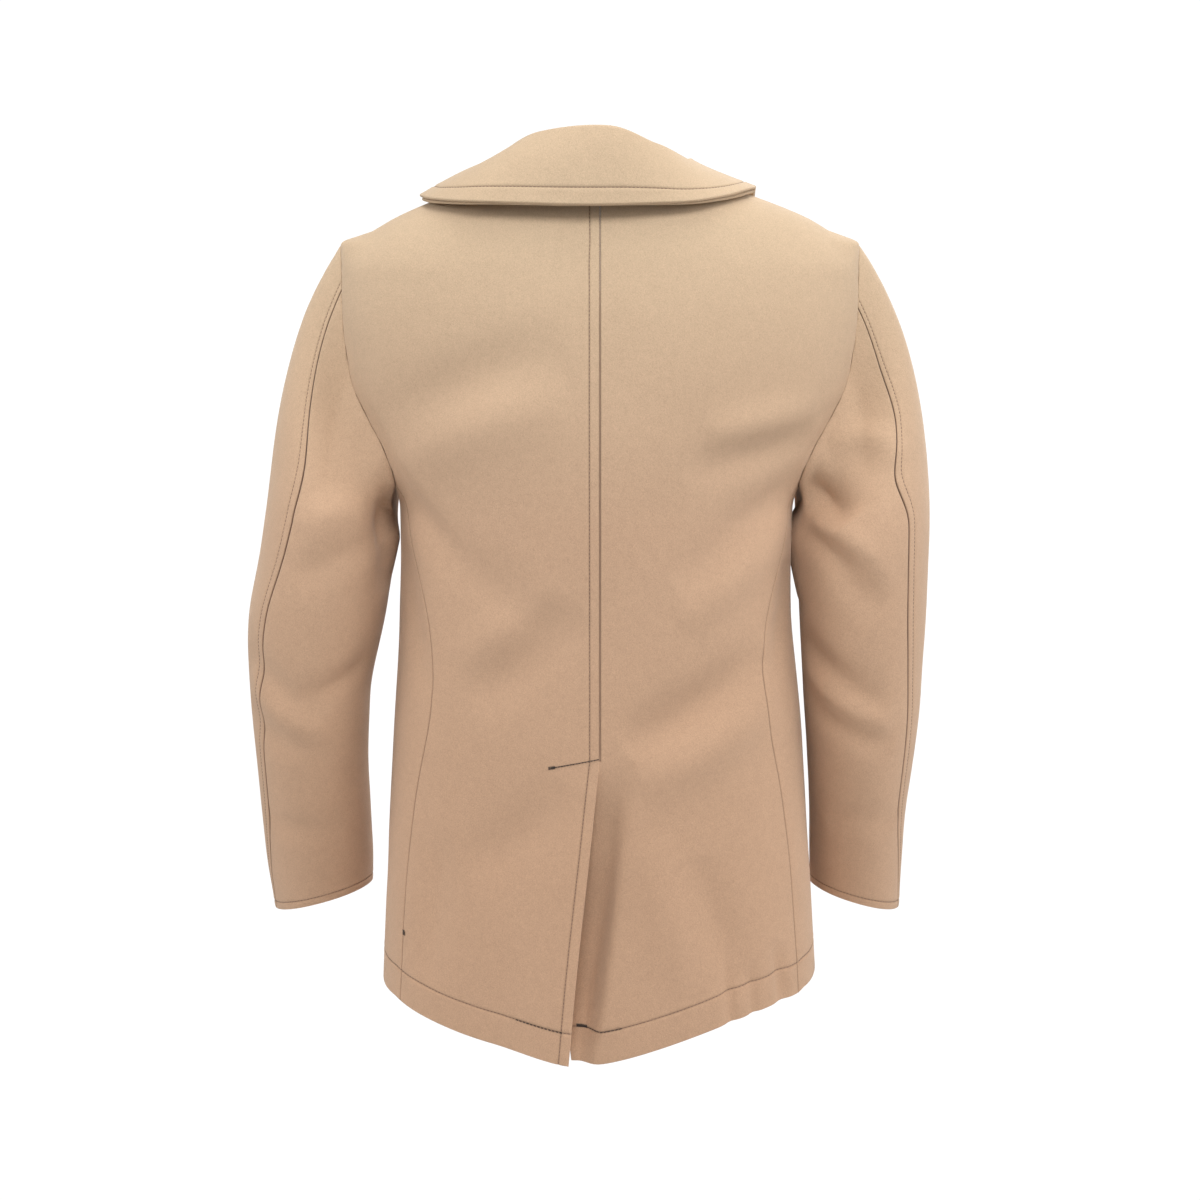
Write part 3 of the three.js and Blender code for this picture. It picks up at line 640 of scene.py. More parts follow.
def levels(low, high, *close):
    """Heights between two lists of places, each 5 mm, and closer where asked by (start, end, step)."""
    parts = [low, high, np.arange(low[-1] + 4.5, high[0] - 2, 5)]
    parts += [np.arange(*span) for span in close]
    every = np.sort(np.concatenate(parts))
    kept = [every[0]]
    for z in every[1:]:
        if z - kept[-1] > 0.24 or z in high:
            kept.append(z)
    return np.array(kept)


def vent(level, name):
    """The vent's shape, which starts from nothing at its top."""
    return VENT(level, name) * ease(level, VENT_TOP, VENT_TOP - 9)


def vent_out(side, x, level):
    """How far the flap stands out over the vent, or the side under it is pressed in as far as its fold."""
    if side > 0:
        edge = vent(level, "edge")
        return vent(level, "proud") * (1 - ease(x, edge, edge + FLAP_FADE))
    fold = VENT_FOLD["x"] + VENT_FOLD["slope"] * (level - VENT_FOLD["z"])
    sunk = VENT(level, "sunk") * ease(level, VENT_TOP + 4, VENT_TOP - 60)
    at_hem = 1 - 0.6 * ease(level, -690, -742)
    return -sunk * at_hem * (1 - ease(x, fold - VENT_FOLD["in"], fold + VENT_FOLD["out"]))


def back_panel(side, material):
    low, high = HEM_SIDE + np.array(HEM), -SEAM - np.array(TOP[::-1])
    level = levels(low, high, AT_VENT_TOP, AT_SHOULDER)[:, None]
    row = level[:, 0]
    inner = CENTRE_SEAM + (vent(row, "edge") if side > 0 else -vent(row, "under"))
    start = deg_at(side, inner, row)
    side_seam = SIDE_SEAM(row, "deg")
    hole = armhole(armhole_angle(row))[0]
    end = np.where(row <= SIDE_SEAM_TOP, side_seam, np.where(row <= SHOULDER_Z, hole, 90)) - SEAM_DEG
    deg, from_centre, from_side = spread(lambda d: form_point(side, d, level), start, end)
    x = form_point(side, deg, level)[..., 0]
    out = vent_out(side, x, level)
    z = dropped(side, deg, level)
    cloth = Cloth(
        f"back_{HAND[side]}_cloth",
        side,
        on_form(side, deg, z, out),
        form_normal(side, deg, z),
        grid_faces(*deg.shape),
    )
    far = np.full(deg.shape, FAR)
    hole_away = armhole_distance(side, cloth.where)
    relief = body_relief(side, cloth.where)
    cloth.where = cloth.where + shoulder_round(side, cloth.where)
    cloth.move(relief)
    seamed = (level <= SIDE_SEAM_TOP) | (level >= SHOULDER_Z)
    cloth.seam(np.where(seamed, from_side, far), 0.6, 0.3)
    cloth.seam(hole_away, 1.15, 0.3)
    cloth.seam(-SEAM - level + 0 * far)
    cloth.seam(np.where(level > VENT_TOP, from_centre, far), 0.9, 0.55)
    cloth.free(np.where(level <= VENT_TOP, from_centre, far))
    cloth.free(level - HEM_SIDE + 0 * far)
    cloth.stitched(level - HEM_SIDE - HEM_STITCH + 0 * far, 0.6)
    if side > 0:
        cloth.stitched(from_centre - EDGE_STITCH, 0.55)
    cloth.build(material)
    where, normals = cloth.face_grid()
    hem = int(np.argmin(np.abs(row - HEM_LINE)))
    lines = [(where[hem, 3:-1], normals[hem, 3:-1])]
    if side > 0:
        column = EDGE.index(EDGE_STITCH)
        lines.append((where[2:-3, column], normals[2:-3, column]))
    return lines


def roll_x(z):
    """The roll line runs straight from the break to the collar."""
    return lerp(-FRONT_EDGE, ROLL_NECK[0], (z - BREAK_Z) / (ROLL_NECK[1] - BREAK_Z))


def front_edge_x(z, side):
    """How far across the centre a front reaches: its edge, then its roll line, then the neck seam."""
    above = np.minimum(roll_x(z), lerp(NECK_HALF, ROLL_NECK[0], z / ROLL_NECK[1]))
    return np.where(z <= (BREAK_Z if side > 0 else CROSS_Z), -FRONT_EDGE, above)


def front_out(x, z, side):
    """The left front lies over the right one wherever the two pass each other."""
    return LAP * ease(x, 142, 106) * ease(z, -48, -104) if side > 0 else 0.0 * x


def front_panel(side, material):
    turning = SIDE_SEAM_TOP - ARMPIT_Z
    hem = HEM_SIDE + np.array(HEM)
    low = levels(hem, SIDE_SEAM_TOP - np.array(TOP[::-1]))
    rise = ease(low, -380, SIDE_SEAM_TOP)
    start = SIDE_SEAM(low, "deg") + SEAM_DEG
    loop_deg, loop_z = armhole(np.linspace(SIDE_SEAM_ANGLE, 180, 41))
    loop_share = (loop_deg - loop_deg[0]) / (90 - loop_deg[0])
    armpit = np.full(low.shape, 90.0)
    ends = (0, 2, 5)
    under, from_side, _ = spread(
        lambda d: form_point(side, d, low[:, None]), start, armpit, last=ends, step=5
    )
    share = (under - start[:, None]) / (90 - start[:, None])
    under_z = low[:, None] - (SIDE_SEAM_TOP - np.interp(share, loop_share, loop_z)) * rise[:, None]
    main_z = (low - turning * rise)[:, None]
    edge = deg_at(side, front_edge_x(main_z[:, 0], side), main_z[:, 0], True)
    main, _, from_edge = spread(lambda d: form_point(side, d, main_z), armpit, edge)
    deg_low = np.hstack([under[:, :-1], main])
    z_low = dropped(side, deg_low, np.hstack([under_z[:, :-1], main_z + 0 * main]))
    high = levels(
        ARMPIT_Z + np.array((0.2, 0.7, 1.6, 3, 5, 8, 11)),
        -SEAM - np.array(TOP[::-1]),
        AT_SHOULDER,
        AT_CROSSING,
    )[:, None]
    hole = np.where(high <= SHOULDER_Z, armhole(-armhole_angle(high))[0], 90)[:, 0] + SEAM_DEG
    edge = deg_at(side, front_edge_x(high[:, 0], side), high[:, 0], True)
    columns = main.shape[1]
    step = 4.5
    for _ in range(12):
        upper, from_hole, upper_edge = spread(lambda d: form_point(side, d, high), hole, edge, step=step)
        if upper.shape[1] == columns:
            break
        step *= (upper.shape[1] - 2 * len(EDGE) + 1) / (columns - 2 * len(EDGE) + 1)
    deg = np.concatenate([deg_low.ravel(), upper.ravel()])
    z = np.concatenate([z_low.ravel(), (high + 0 * upper).ravel()])
    x = form_point(side, deg, z)[..., 0]
    wide = deg_low.shape[1]
    first = (len(low) - 1) * wide + wide - columns
    joint = np.stack([first + np.arange(columns - 1), first + np.arange(1, columns)], axis=1)
    above = len(low) * wide + np.arange(columns - 1)
    joint = np.column_stack([joint, above + 1, above])
    faces = np.concatenate(
        [grid_faces(len(low), wide), joint, grid_faces(len(high), columns, len(low) * wide)]
    )
    cloth = Cloth(
        f"front_{HAND[side]}_cloth",
        side,
        on_form(side, deg, z, front_out(x, z, side)),
        form_normal(side, deg, z),
        faces,
    )
    hole_away = armhole_distance(side, cloth.where)
    relief = body_relief(side, cloth.where)
    cloth.where = cloth.where + shoulder_round(side, cloth.where)
    cloth.move(relief)

    def both(low_part, high_part):
        return np.concatenate([np.broadcast_to(low_part, deg_low.shape).ravel(), high_part.ravel()])

    far_low, far_high = np.full(deg_low.shape, FAR), np.full(upper.shape, FAR)
    seam_away = far_low.copy()
    seam_away[:, : from_side.shape[1] - 1] = from_side[:, :-1]
    edge_away = far_low.copy()
    edge_away[:, -columns:] = from_edge
    cloth.seam(both(seam_away, np.where(high >= SHOULDER_Z, from_hole, far_high)), 0.6, 0.3)
    cloth.seam(hole_away, 1.15, 0.3)
    cloth.seam(both(far_low, -SEAM - high + 0 * far_high))
    hem_away = (low - HEM_SIDE)[:, None] + 0 * far_low
    cloth.free(both(edge_away, upper_edge))
    cloth.free(both(hem_away, far_high))
    cloth.stitched(both(hem_away - HEM_STITCH, far_high), 0.6)
    high_stitch = np.where(high < BREAK_Z, upper_edge - EDGE_STITCH, far_high)
    cloth.stitched(both(edge_away - EDGE_STITCH, high_stitch), 0.5)
    cloth.build(material)
    where = cloth.face_points()
    normals = cloth.normals * (side, 1, 1)
    stitched = int(np.argmin(np.abs(low - HEM_LINE)))
    across = stitched * wide + np.arange(1, wide - 3)
    last = 1 + EDGE.index(EDGE_STITCH)
    up = np.arange(3, len(low)) * wide + wide - last
    shown = int(np.sum(high < (BREAK_Z if side > 0 else CROSS_Z) - 4))
    up = np.concatenate([up, len(low) * wide + np.arange(shown) * columns + columns - last])
    return [(where[across], normals[across]), (where[up], normals[up])]


# ---- Sleeves ----

SLEEVE_STITCH = 8.0  # the stitching in from the back seam


def sleeve_piece(name, side, start, end, material, welt):
    """A sleeve piece from its start to its end seam; the welt is stitched down beside the end seam."""
    top, cuff = 800.0, 548.0  # millimetres of cloth to one t, above and below the cap's end
    close = np.array(EDGE[:6])
    t = np.concatenate(
        [
            close / top,
            np.arange(6.5 / top, CAP_END, 4.6 / top),
            np.arange(CAP_END, 1 - 16 / cuff, 4.6 / cuff),
            1 - np.array(EDGE[::-1]) / cuff,
        ]
    )
    angle, from_start, from_end = spread(
        lambda a: sleeve_point(side, a, t[:, None]), start(t) + SLEEVE_SEAM_DEG, end(t) - SLEEVE_SEAM_DEG
    )
    where = sleeve_point(side, angle, t[:, None])
    normals = sleeve_normal(side, angle, t[:, None] + 0 * angle)
    cloth = Cloth(name, side, where, normals, grid_faces(*angle.shape))
    away = armhole_distance(side, cloth.where)
    cloth.move(sleeve_relief(side, cloth.where))
    from_cuff = (1 - t[:, None]) * cuff + 0 * angle
    cloth.seam(away, 1.15, 0.3)
    cloth.seam(from_start, 1.5, 1)
    cloth.seam(from_end, 1.5, 1)
    cloth.free(from_cuff)
    cloth.stitched(from_cuff - EDGE_STITCH, 0.5)
    if welt:
        cloth.stitched(from_end - SLEEVE_STITCH, 0.35, 0.15)
    cloth.build(material)
    shape, direction = cloth.face_grid()
    row = len(t) - 1 - EDGE.index(EDGE_STITCH)
    lines = [(shape[row], direction[row])]
    if welt:
        column = angle.shape[1] - 1 - EDGE.index(SLEEVE_STITCH)
        lines.append((shape[4:-3, column], direction[4:-3, column]))
    return lines


def sleeve(side, material):
    def back(t):
        return SLEEVE_BACK_SEAM[side](t, "deg")

    def front(t):
        return SLEEVE_FRONT_SEAM + 0 * t

    top = f"sleeve_top_{HAND[side]}_cloth"
    under = f"sleeve_under_{HAND[side]}_cloth"
    lines = sleeve_piece(top, side, front, back, material, True)
    return lines + sleeve_piece(under, side, back, lambda t: front(t) + 360, material, False)


# ---- Collar, lapels and pockets ----

UP = np.array((0.0, 0.0, 1.0))


def collar_row(u):
    """The collar at u, from -1 at the wearer's right front end to 1 at the left one."""
    deg = np.abs(u) * COLLAR.x[-1]
    hand = np.where(u < 0, -1, 1)
    shift = 1 - ease(np.abs(u), 0.6, 0.95)
    fold_low = ease(np.abs(u), 0.05, 0.25) * (1 - ease(np.abs(u), 0.3, 0.75))
    edge_low = shift * ease(np.abs(u), 0.2, 0.5)

    def fall(name):
        return np.where(u < 0, COLLAR_FALL[-1][name], COLLAR_FALL[1][name])

    neck = points(hand * COLLAR(deg, "neckX"), COLLAR(deg, "neckY"), COLLAR(deg, "neckZ"))
    fold = points(
        hand * COLLAR(deg, "foldX") + shift * COLLAR_SHIFT["fold"],
        COLLAR(deg, "foldY"),
        COLLAR(deg, "foldZ") - fold_low * fall("fold"),
    )
    edge = points(
        hand * COLLAR(deg, "edgeX") + shift * COLLAR_SHIFT["edge"],
        COLLAR(deg, "edgeY"),
        COLLAR(deg, "edgeZ") - edge_low * fall("edge"),
    )
    return neck, fold, edge


def stand_point(u, v):
    neck, fold, _ = collar_row(u)
    return lerp(neck, fold - 6 * UP, np.asarray(v)[..., None])


def leaf_point(u, v):
    """The leaf turns over at the fold, v = 0, and falls to its outer edge, v = 1."""
    _, fold, edge = collar_row(u)
    away = unit((edge - fold) * (1, 1, 0))
    turn = np.clip(np.asarray(v) * 5, 0, 1)
    a = np.radians(lerp(150, 40, turn))[..., None]
    start = fold + away * (FOLD_RADIUS * (1 + np.cos(a)) + 0.6) + UP * FOLD_RADIUS * (np.sin(a) - 1)
    s = np.clip((np.asarray(v)[..., None] * 5 - 1) / 4, 0, None)
    out = away * 0.55 + 0.83 * UP
    bulge = lerp(LEAF_BULGE, RIGHT_BULGE, ease(-np.asarray(u), 0.1, 0.4))[..., None]
    return lerp(start, edge, s) + out * bulge * np.sin(np.pi * np.clip(s, 0, 1)) * (1 - 0.35 * s)


def collar_piece(name, place, v, depth, material, stitch=False):
    end = np.array(EDGE) / COLLAR_HALF
    u = np.unique(np.concatenate([np.linspace(-1, 1, 105), 1 - end, end - 1]))
    u, v = np.meshgrid(u, v)
    n = normals_of(place, np.clip(u, -0.995, 0.995), np.clip(v, 0.01, 0.99), 0.005, 0.01)
    cloth = Cloth(name, 1, place(u, v) - n * depth, n, grid_faces(*u.shape))
    cloth.move(uneven(cloth.where, ((0.011, 1.1), (0.03, 0.5))) * ease(v.ravel(), 0.1, 0.5))
    from_edge, from_end = (1 - v) * LEAF_WIDE, (1 - np.abs(u)) * COLLAR_HALF
    cloth.free(from_edge)
    cloth.free(from_end)
    lines = []
    if stitch:
        cloth.stitched(from_edge - LEAF_STITCH, 0.6)
        cloth.stitched(np.where(from_edge > LEAF_STITCH, from_end - EDGE[-1], FAR), 0.4)
        row = int(np.argmin(np.abs(from_edge[:, 0] - LEAF_STITCH)))
        shape, direction = cloth.face_grid()
        lines.append((shape[row, 12:-12], direction[row, 12:-12]))
    cloth.build(material)
    return lines


def collar(material):
    edge = (20, 18.5, 17.3, 16.6, 16, 15.4, 14.7, 13.5, 11, 8, 5, 3, 1.8, 1.2, 0.7, 0.25, 0)
    fine = 1 - np.array(edge) / LEAF_WIDE
    top = np.concatenate([np.linspace(0, 0.2, 12), np.arange(0.23, 0.79, 0.035), fine])
    under = np.concatenate([np.arange(1 / 3, 0.79, 0.04), fine])
    lines = collar_piece("collar_top_cloth", leaf_point, top, 0, material, True)
    collar_piece("collar_under_cloth", leaf_point, under, CLOTH + 3 * SEAM, material)
    collar_piece("collar_stand_cloth", stand_point, np.linspace(0, 1, 10), 0, material)
    return lines


def lapel(side, material):
    rows = LAPEL[side]
    shares = np.linspace(0, 1, len(rows))
    table = Table("at rollX rollZ edgeX edgeZ", *[(t, roll_x(row[0]), *row) for t, row in zip(shares, rows)])
    roll = 3 / 8  # the share of the width that goes round the fold

    def place(u, v):
        line, back = np.minimum(v + 0.02, 1), np.maximum(v - 0.02, 0)
        along = unit(np.stack([table(line, k) - table(back, k) for k in ("rollX", "rollZ")], axis=-1))
        roll_at, roll_up = table(v, "rollX"), table(v, "rollZ")
        base = front_out(roll_at, roll_up, side)
        a = np.radians(lerp(-60, 90, np.clip(u / roll, 0, 1)))
        d = -LAPEL_ROLL * np.cos(a) - 0.4
        x1, z1 = roll_at + along[..., 1] * d, roll_up - along[..., 0] * d
        out1 = base + LAPEL_LIFT - LAPEL_ROLL + LAPEL_ROLL * np.sin(a)
        s = np.clip((u - roll) / (1 - roll), 0, 1)
        x2, z2 = lerp(roll_at, table(v, "edgeX"), s), lerp(roll_up, table(v, "edgeZ"), s)
        out2 = lerp(base, front_out(x2, z2, side), s) + LAPEL_LIFT + 1.5 * np.sin(np.pi * s)
        x, z = np.where(u < roll, x1, x2), np.where(u < roll, z1, z2)
        return on_form(side, deg_at(side, x, z, True), z, np.where(u < roll, out1, out2))

    wide, tall = LAPEL_SIZE[side]["wide"], LAPEL_SIZE[side]["tall"]
    u = np.concatenate([np.linspace(0, roll, 9)[:-1], np.linspace(roll, 1 - 14 / wide, 14)])
    u = np.concatenate([u, 1 - np.array(EDGE[-2::-1]) / wide])
    v = np.concatenate([np.array(EDGE) / tall, np.linspace(16 / tall, 1 - 16 / tall, 26)])
    v = np.concatenate([v, 1 - np.array(EDGE[::-1]) / tall])
    u, v = np.meshgrid(u, v)
    n = normals_of(place, np.clip(u, 0.02, 0.98), np.clip(v, 0.02, 0.98), 0.015, 0.015)
    cloth = Cloth(f"lapel_{HAND[side]}_cloth", side, place(u, v), n, grid_faces(*u.shape))
    from_edge, from_top = (1 - u) * wide, (1 - v) * tall
    cloth.free(from_edge)
    cloth.free(v * tall)
    cloth.free(from_top)
    cloth.stitched(np.where(from_top > EDGE_STITCH, from_edge - EDGE_STITCH, FAR), 0.45)
    cloth.stitched(np.where(from_edge > EDGE_STITCH, from_top - EDGE_STITCH, FAR), 0.45)
    cloth.build(material)
    shape, direction = cloth.face_grid()
    last = 1 + EDGE.index(EDGE_STITCH)
    column, row = u.shape[1] - last, u.shape[0] - last
    return [
        (shape[12 : row + 1, column], direction[12 : row + 1, column]),
        (shape[row, 10 : column + 1], direction[row, 10 : column + 1]),
    ]


def pocket_welt(side, material):
    start, half = np.array(EDGE[:8]), POCKET["wide"] / 2
    tall = math.dist(POCKET["top"], POCKET["foot"])
    across = np.concatenate([start - half, (-3, 0, 3), half - start[::-1]])
    up = np.concatenate([start, np.linspace(10, tall - 10, 32), tall - start[::-1]])
    s, w = np.meshgrid(up / tall, across, indexing="ij")
    (top_x, top_z), (foot_x, foot_z) = POCKET["top"], POCKET["foot"]
    x, z = lerp(foot_x, top_x, s) + w, lerp(foot_z, top_z, s)
    deg = deg_at(side, x, z, True)
    base = on_form(side, deg, z)
    relief = body_relief(side, base.reshape(-1, 3)).reshape(x.shape)
    out = POCKET["thick"] + SEAM + 0.9 + front_out(x, z, side) + relief
    cloth = Cloth(
        f"pocket_welt_{HAND[side]}_cloth",
        side,
        on_form(side, deg, z, out),
        form_normal(side, deg, z),
        grid_faces(*x.shape),
        POCKET["thick"],
    )
    edge = np.minimum(np.minimum(half - np.abs(w), s * tall), (1 - s) * tall)
    cloth.free(edge)
    cloth.stitched(edge - POCKET["stitch"], 0.35)
    cloth.build(material)
    shape, direction = cloth.face_grid()
    k = EDGE.index(POCKET["stitch"])
    lines = [(shape[k, k:-k], direction[k, k:-k]), (shape[-1 - k, k:-k], direction[-1 - k, k:-k])]
    return lines + [(shape[k:-k, i], direction[k:-k, i]) for i in (k, -1 - k)]


# ---- Buttons, stitching and bartacks ----


def lathe(profile, count=48):
    """Rings of points and faces round +Z from (radius, height) pairs; the first and last lie on the axis."""
    turn = np.linspace(0, 2 * np.pi, count, endpoint=False)
    rings = [points(r * np.cos(turn), r * np.sin(turn), h) for r, h in profile[1:-1]]
    where = [(0, 0, profile[0][1]), *np.concatenate(rings), (0, 0, profile[-1][1])]
    faces = [(0, 1 + (i + 1) % count, 1 + i) for i in range(count)]
    for j in range(len(rings) - 1):
        a, b = 1 + j * count, 1 + (j + 1) * count
        faces += [(a + i, a + (i + 1) % count, b + (i + 1) % count, b + i) for i in range(count)]
    last = len(where) - 1
    low = 1 + (len(rings) - 1) * count
    faces += [(last, low + i, low + (i + 1) % count) for i in range(count)]
    return where, faces


def solid(name, where, faces, material):
    mesh = bpy.data.meshes.new(name)
    mesh.from_pydata([tuple(c * MM for c in p) for p in where], [], [tuple(f) for f in faces])
    mesh.materials.append(material)
    return placed(name, mesh)


def button_mesh(material):
    """A dished button with a rounded rim and four holes."""
    r, thick, rim, dish = (BUTTON[k] for k in ("radius", "thick", "rim", "dish"))
    profile = [
        (0, 0), (r - 2.2, 0), (r - 1, 0.35), (r - 0.2, 1.2), (r, 2), (r - 0.2, thick - 0.9),
        (r - 0.8, thick - 0.25), (r - 1.6, thick), (r - rim + 0.4, thick - 0.1), (r - rim - 0.5, thick - 0.5),
        (r - rim - 1.4, thick - dish + 0.1), (r - rim - 2.4, thick - dish), (4, thick - dish - 0.15),
        (0, thick - dish - 0.2),
    ]
    made = solid("button_blank", *lathe(profile), material)
    radius, off = HOLE["radius"], HOLE["off"]
    for x, y in ((-off, -off), (-off, off), (off, -off), (off, off)):
        drill = solid("drill", *lathe([(0, -2), (radius, -2), (radius, 6), (0, 6)], 20), material)
        drill.location = (x * MM, y * MM, 0)
        cut = made.modifiers.new("hole", "BOOLEAN")
        cut.object, cut.operation, cut.solver = drill, "DIFFERENCE", "EXACT"
        bpy.context.view_layer.objects.active = made
        bpy.ops.object.modifier_apply(modifier=cut.name)
        bpy.data.objects.remove(drill)
    made.data.polygons.foreach_set("use_smooth", [True] * len(made.data.polygons))
    made.data.set_sharp_from_angle(angle=math.radians(38))
    return made


def buttons(material, thread):
    blank = button_mesh(material)
    for row, z in enumerate(BUTTON["rows"]):
        for x in BUTTON["columns"]:
            hand = "left" if x > 0 else "right"
            deg = deg_at(1, x, z, True)
            base = on_form(1, deg, np.float64(z))
            relief = body_relief(1, base.reshape(1, 3))[0]
            out = float(front_out(np.float64(x), z, 1)) + 0.9 + relief
            centre = on_form(1, deg, np.float64(z), out)
            facing = Vector(form_normal(1, deg, np.float64(z))).to_track_quat("Z", "Y").to_matrix().to_4x4()
            seat = Matrix.Translation(Vector(centre * MM)) @ facing
            made = placed(f"button_{hand}_{row + 1}_dished", blank.data.copy())
            made.data.transform(seat)
            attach(made, "root")
            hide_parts(f"button_{hand}_{row + 1}")
            sewn_on(f"button_thread_{hand}_{row + 1}", seat, thread)
    bpy.data.objects.remove(blank)


def sewn_on(name, seat, material):
    """Threads from hole to hole across a button's face and down to the cloth."""
    mesh = bmesh.new()
    face, off = BUTTON["thick"] - BUTTON["dish"], HOLE["off"]
    half = ((off, -1.5), (off, face - 0.4), (1.7, face + 0.35))
    for x in (-off, off):
        for shift in (-0.45, 0, 0.45):
            way = [(x + shift, -y, h) for y, h in half] + [(x + shift, y, h) for y, h in half[::-1]]
            tube(mesh, [Vector(p) for p in way], 0.32)
    data = bpy.data.meshes.new(name)
    mesh.to_mesh(data)
    mesh.free()
    data.transform(seat @ Matrix.Scale(MM, 4))
    data.materials.append(material)
    data.polygons.foreach_set("use_smooth", [True] * len(data.polygons))
    made = placed(name, data)
    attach(made, "root")


def tube(mesh, way, radius):
    """A closed tube along a few points, added to a bmesh."""
    sides = 6
    turns = [2 * math.pi * k / sides for k in range(sides)]
    rings = []
    for i, p in enumerate(way):
        along = (way[min(i + 1, len(way) - 1)] - way[max(i - 1, 0)]).normalized()
        turn = along.to_track_quat("Z", "X").to_matrix()
        spokes = [Vector((math.cos(a), math.sin(a), 0)) * radius for a in turns]
        rings.append([mesh.verts.new(p + turn @ s) for s in spokes])
    for low, high in zip(rings, rings[1:]):
        for k in range(sides):
            mesh.faces.new((low[k], low[(k + 1) % sides], high[(k + 1) % sides], high[k]))
    mesh.faces.new(rings[0][::-1])
    mesh.faces.new(rings[-1])


def stitches(name, lines, material, pitch=3.5, radius=0.27, share=0.74):
    """Lines of stitches on the cloth, each an arched thread whose ends go into it."""
    heights = np.array((-0.42, 0.06, 0.12, 0.06, -0.42))
    along = np.array((0.0, 0.16, 0.5, 0.84, 1.0)) * share
    swell = np.array((0.75, 1, 1, 1, 0.75)) * radius
    sides = 5
    turn = np.linspace(0, 2 * np.pi, sides, endpoint=False)
    rows = []
    for where, normals in lines:
        run = np.concatenate([[0], np.cumsum(np.linalg.norm(np.diff(where, axis=0), axis=1))])
        count = max(1, int(run[-1] / pitch))
        at = (np.arange(count)[:, None] + along) * run[-1] / count
        centre = np.stack([np.interp(at, run, where[:, k]) for k in range(3)], axis=-1)
        up = unit(np.stack([np.interp(at, run, normals[:, k]) for k in range(3)], axis=-1))
        forward = unit(centre[:, -1:] - centre[:, :1])
        across = unit(np.cross(forward, up))
        centre = centre + up * heights[:, None]
        ring = up[:, :, None] * np.sin(turn)[:, None] + across[:, :, None] * np.cos(turn)[:, None]
        rows.append(centre[:, :, None] + ring * swell[:, None, None])
    rings = np.concatenate(rows)
    base = (np.arange(len(rings)) * len(along) * sides)[:, None, None]
    j, i = np.meshgrid(np.arange(len(along) - 1), np.arange(sides), indexing="ij")
    a, b = j * sides + i, j * sides + (i + 1) % sides
    cells = np.stack([a, b, b + sides, a + sides], axis=-1).reshape(1, -1, 4) + base
    made = mesh_object(name, rings.reshape(-1, 3), cells.reshape(-1, 4), material)


def back_line(side, start, end, count=24, out=0.0):
    """A straight line across the back as worn, with its normals: places are x across and z up."""
    s = np.linspace(0, 1, count)
    x, z = lerp(start[0], end[0], s), lerp(start[1], end[1], s)
    deg = deg_at(side, x, z)
    base = form_point(side, deg, z)
    out = out + vent_out(side, x, z) + body_relief(side, base)
    z = dropped(side, deg, z)
    where = on_form(side, deg, z, out) * (side, 1, 1)
    return where, form_normal(side, deg, z) * (side, 1, 1)


def bartack(name, side, start, end, material):
    """A close bar of thread: short passes side by side."""
    ends = np.array((start, end), float)
    run = ends[1] - ends[0]
    count = max(3, int(np.hypot(*run) / 0.75))
    across = 1.3 * np.array((-run[1], run[0])) / np.hypot(*run)
    middles = [lerp(ends[0], ends[1], k / (count - 1)) for k in range(count)]
    lines = [back_line(side, m - across, m + across, 4, out=0.3) for m in middles]
    stitches(name, lines, material, 2.6, 0.36, 1.0)


def dark_stitching(thread):
    """The vent's bar, the darker stitches beside the vent's foot, and three bartacks."""
    bar = back_line(1, (1, VENT_TOP + 2), (43, VENT_TOP - 6), out=0.4)
    stitches("vent_bar", [bar], thread, 2.6, 0.4, 0.92)
    for hand, side, start, end in (("left", 1, 33, 76), ("right", -1, -19, 20)):
        line = back_line(side, (start, HEM_LINE), (end, HEM_LINE), out=0.1)
        stitches(f"hem_dark_{hand}", [line], thread, 3.5, 0.36)
    bartack("bartack_vent", 1, (40, VENT_TOP - 5.5), (45, VENT_TOP - 6.5), thread)
    bartack("bartack_side", 1, (181, -678), (181, -681.5), thread)
    bartack("bartack_hem", -1, (-12, -716.5), (-21, -716), thread)


# ---- Materials ----

# The cloth's tone by height, paler and yellower towards the shoulders: partly the cloth's own colour, partly
# painted top light.
HIGH_TAN = (0.56, 0.42, 0.285)
MID_TAN = (0.56, 0.368, 0.245)
LOW_TAN = (0.545, 0.345, 0.225)
# the colour of the painted shade and dirt in the seams and along the stitching
SEAM_SHADE_AND_DIRT_BROWN = (0.13, 0.07, 0.045)


def principled(name, **sockets):
    """A Principled material with these constant sockets, and its node tree's helpers."""
    made = bpy.data.materials.new(name)
    made.use_nodes = True
    shader = made.node_tree.nodes["Principled BSDF"]
    for key, value in sockets.items():
        shader.inputs[key.replace("_", " ")].default_value = value
    return made, made.node_tree, shader


def node(tree, kind, links=(), **values):
    """A node with its settings, its sockets' constants, and links to its inputs."""
    made = tree.nodes.new(kind)
    for key, value in values.items():
        if hasattr(made, key):
            setattr(made, key, value)
        else:
            made.inputs[key.replace("_", " ")].default_value = value
    for socket, source in dict(links).items():
        tree.links.new(source, made.inputs[socket])
    return made


def noise_map(tree, where, scale, detail=2.0, rough=0.5, stretch=(1, 1, 1), turn=(0, 0, 0)):
    """Noise at a scale per metre, stretched along an axis where asked."""
    mapped = node(tree, "ShaderNodeMapping", {"Vector": where})
    mapped.inputs["Scale"].default_value = stretch
    mapped.inputs["Rotation"].default_value = turn
    fine = {"Scale": scale, "Detail": detail, "Roughness": rough}
    return node(tree, "ShaderNodeTexNoise", {"Vector": mapped.outputs[0]}, **fine).outputs["Fac"]


def ramp(tree, source, *stops):
    made = node(tree, "ShaderNodeValToRGB", {"Fac": source})
    elements = made.color_ramp.elements
    while len(elements) < len(stops):
        elements.new(0.5)
    for element, (place, colour) in zip(elements, stops):
        element.position = place
        element.color = (*colour, 1)
    return made.outputs["Color"]


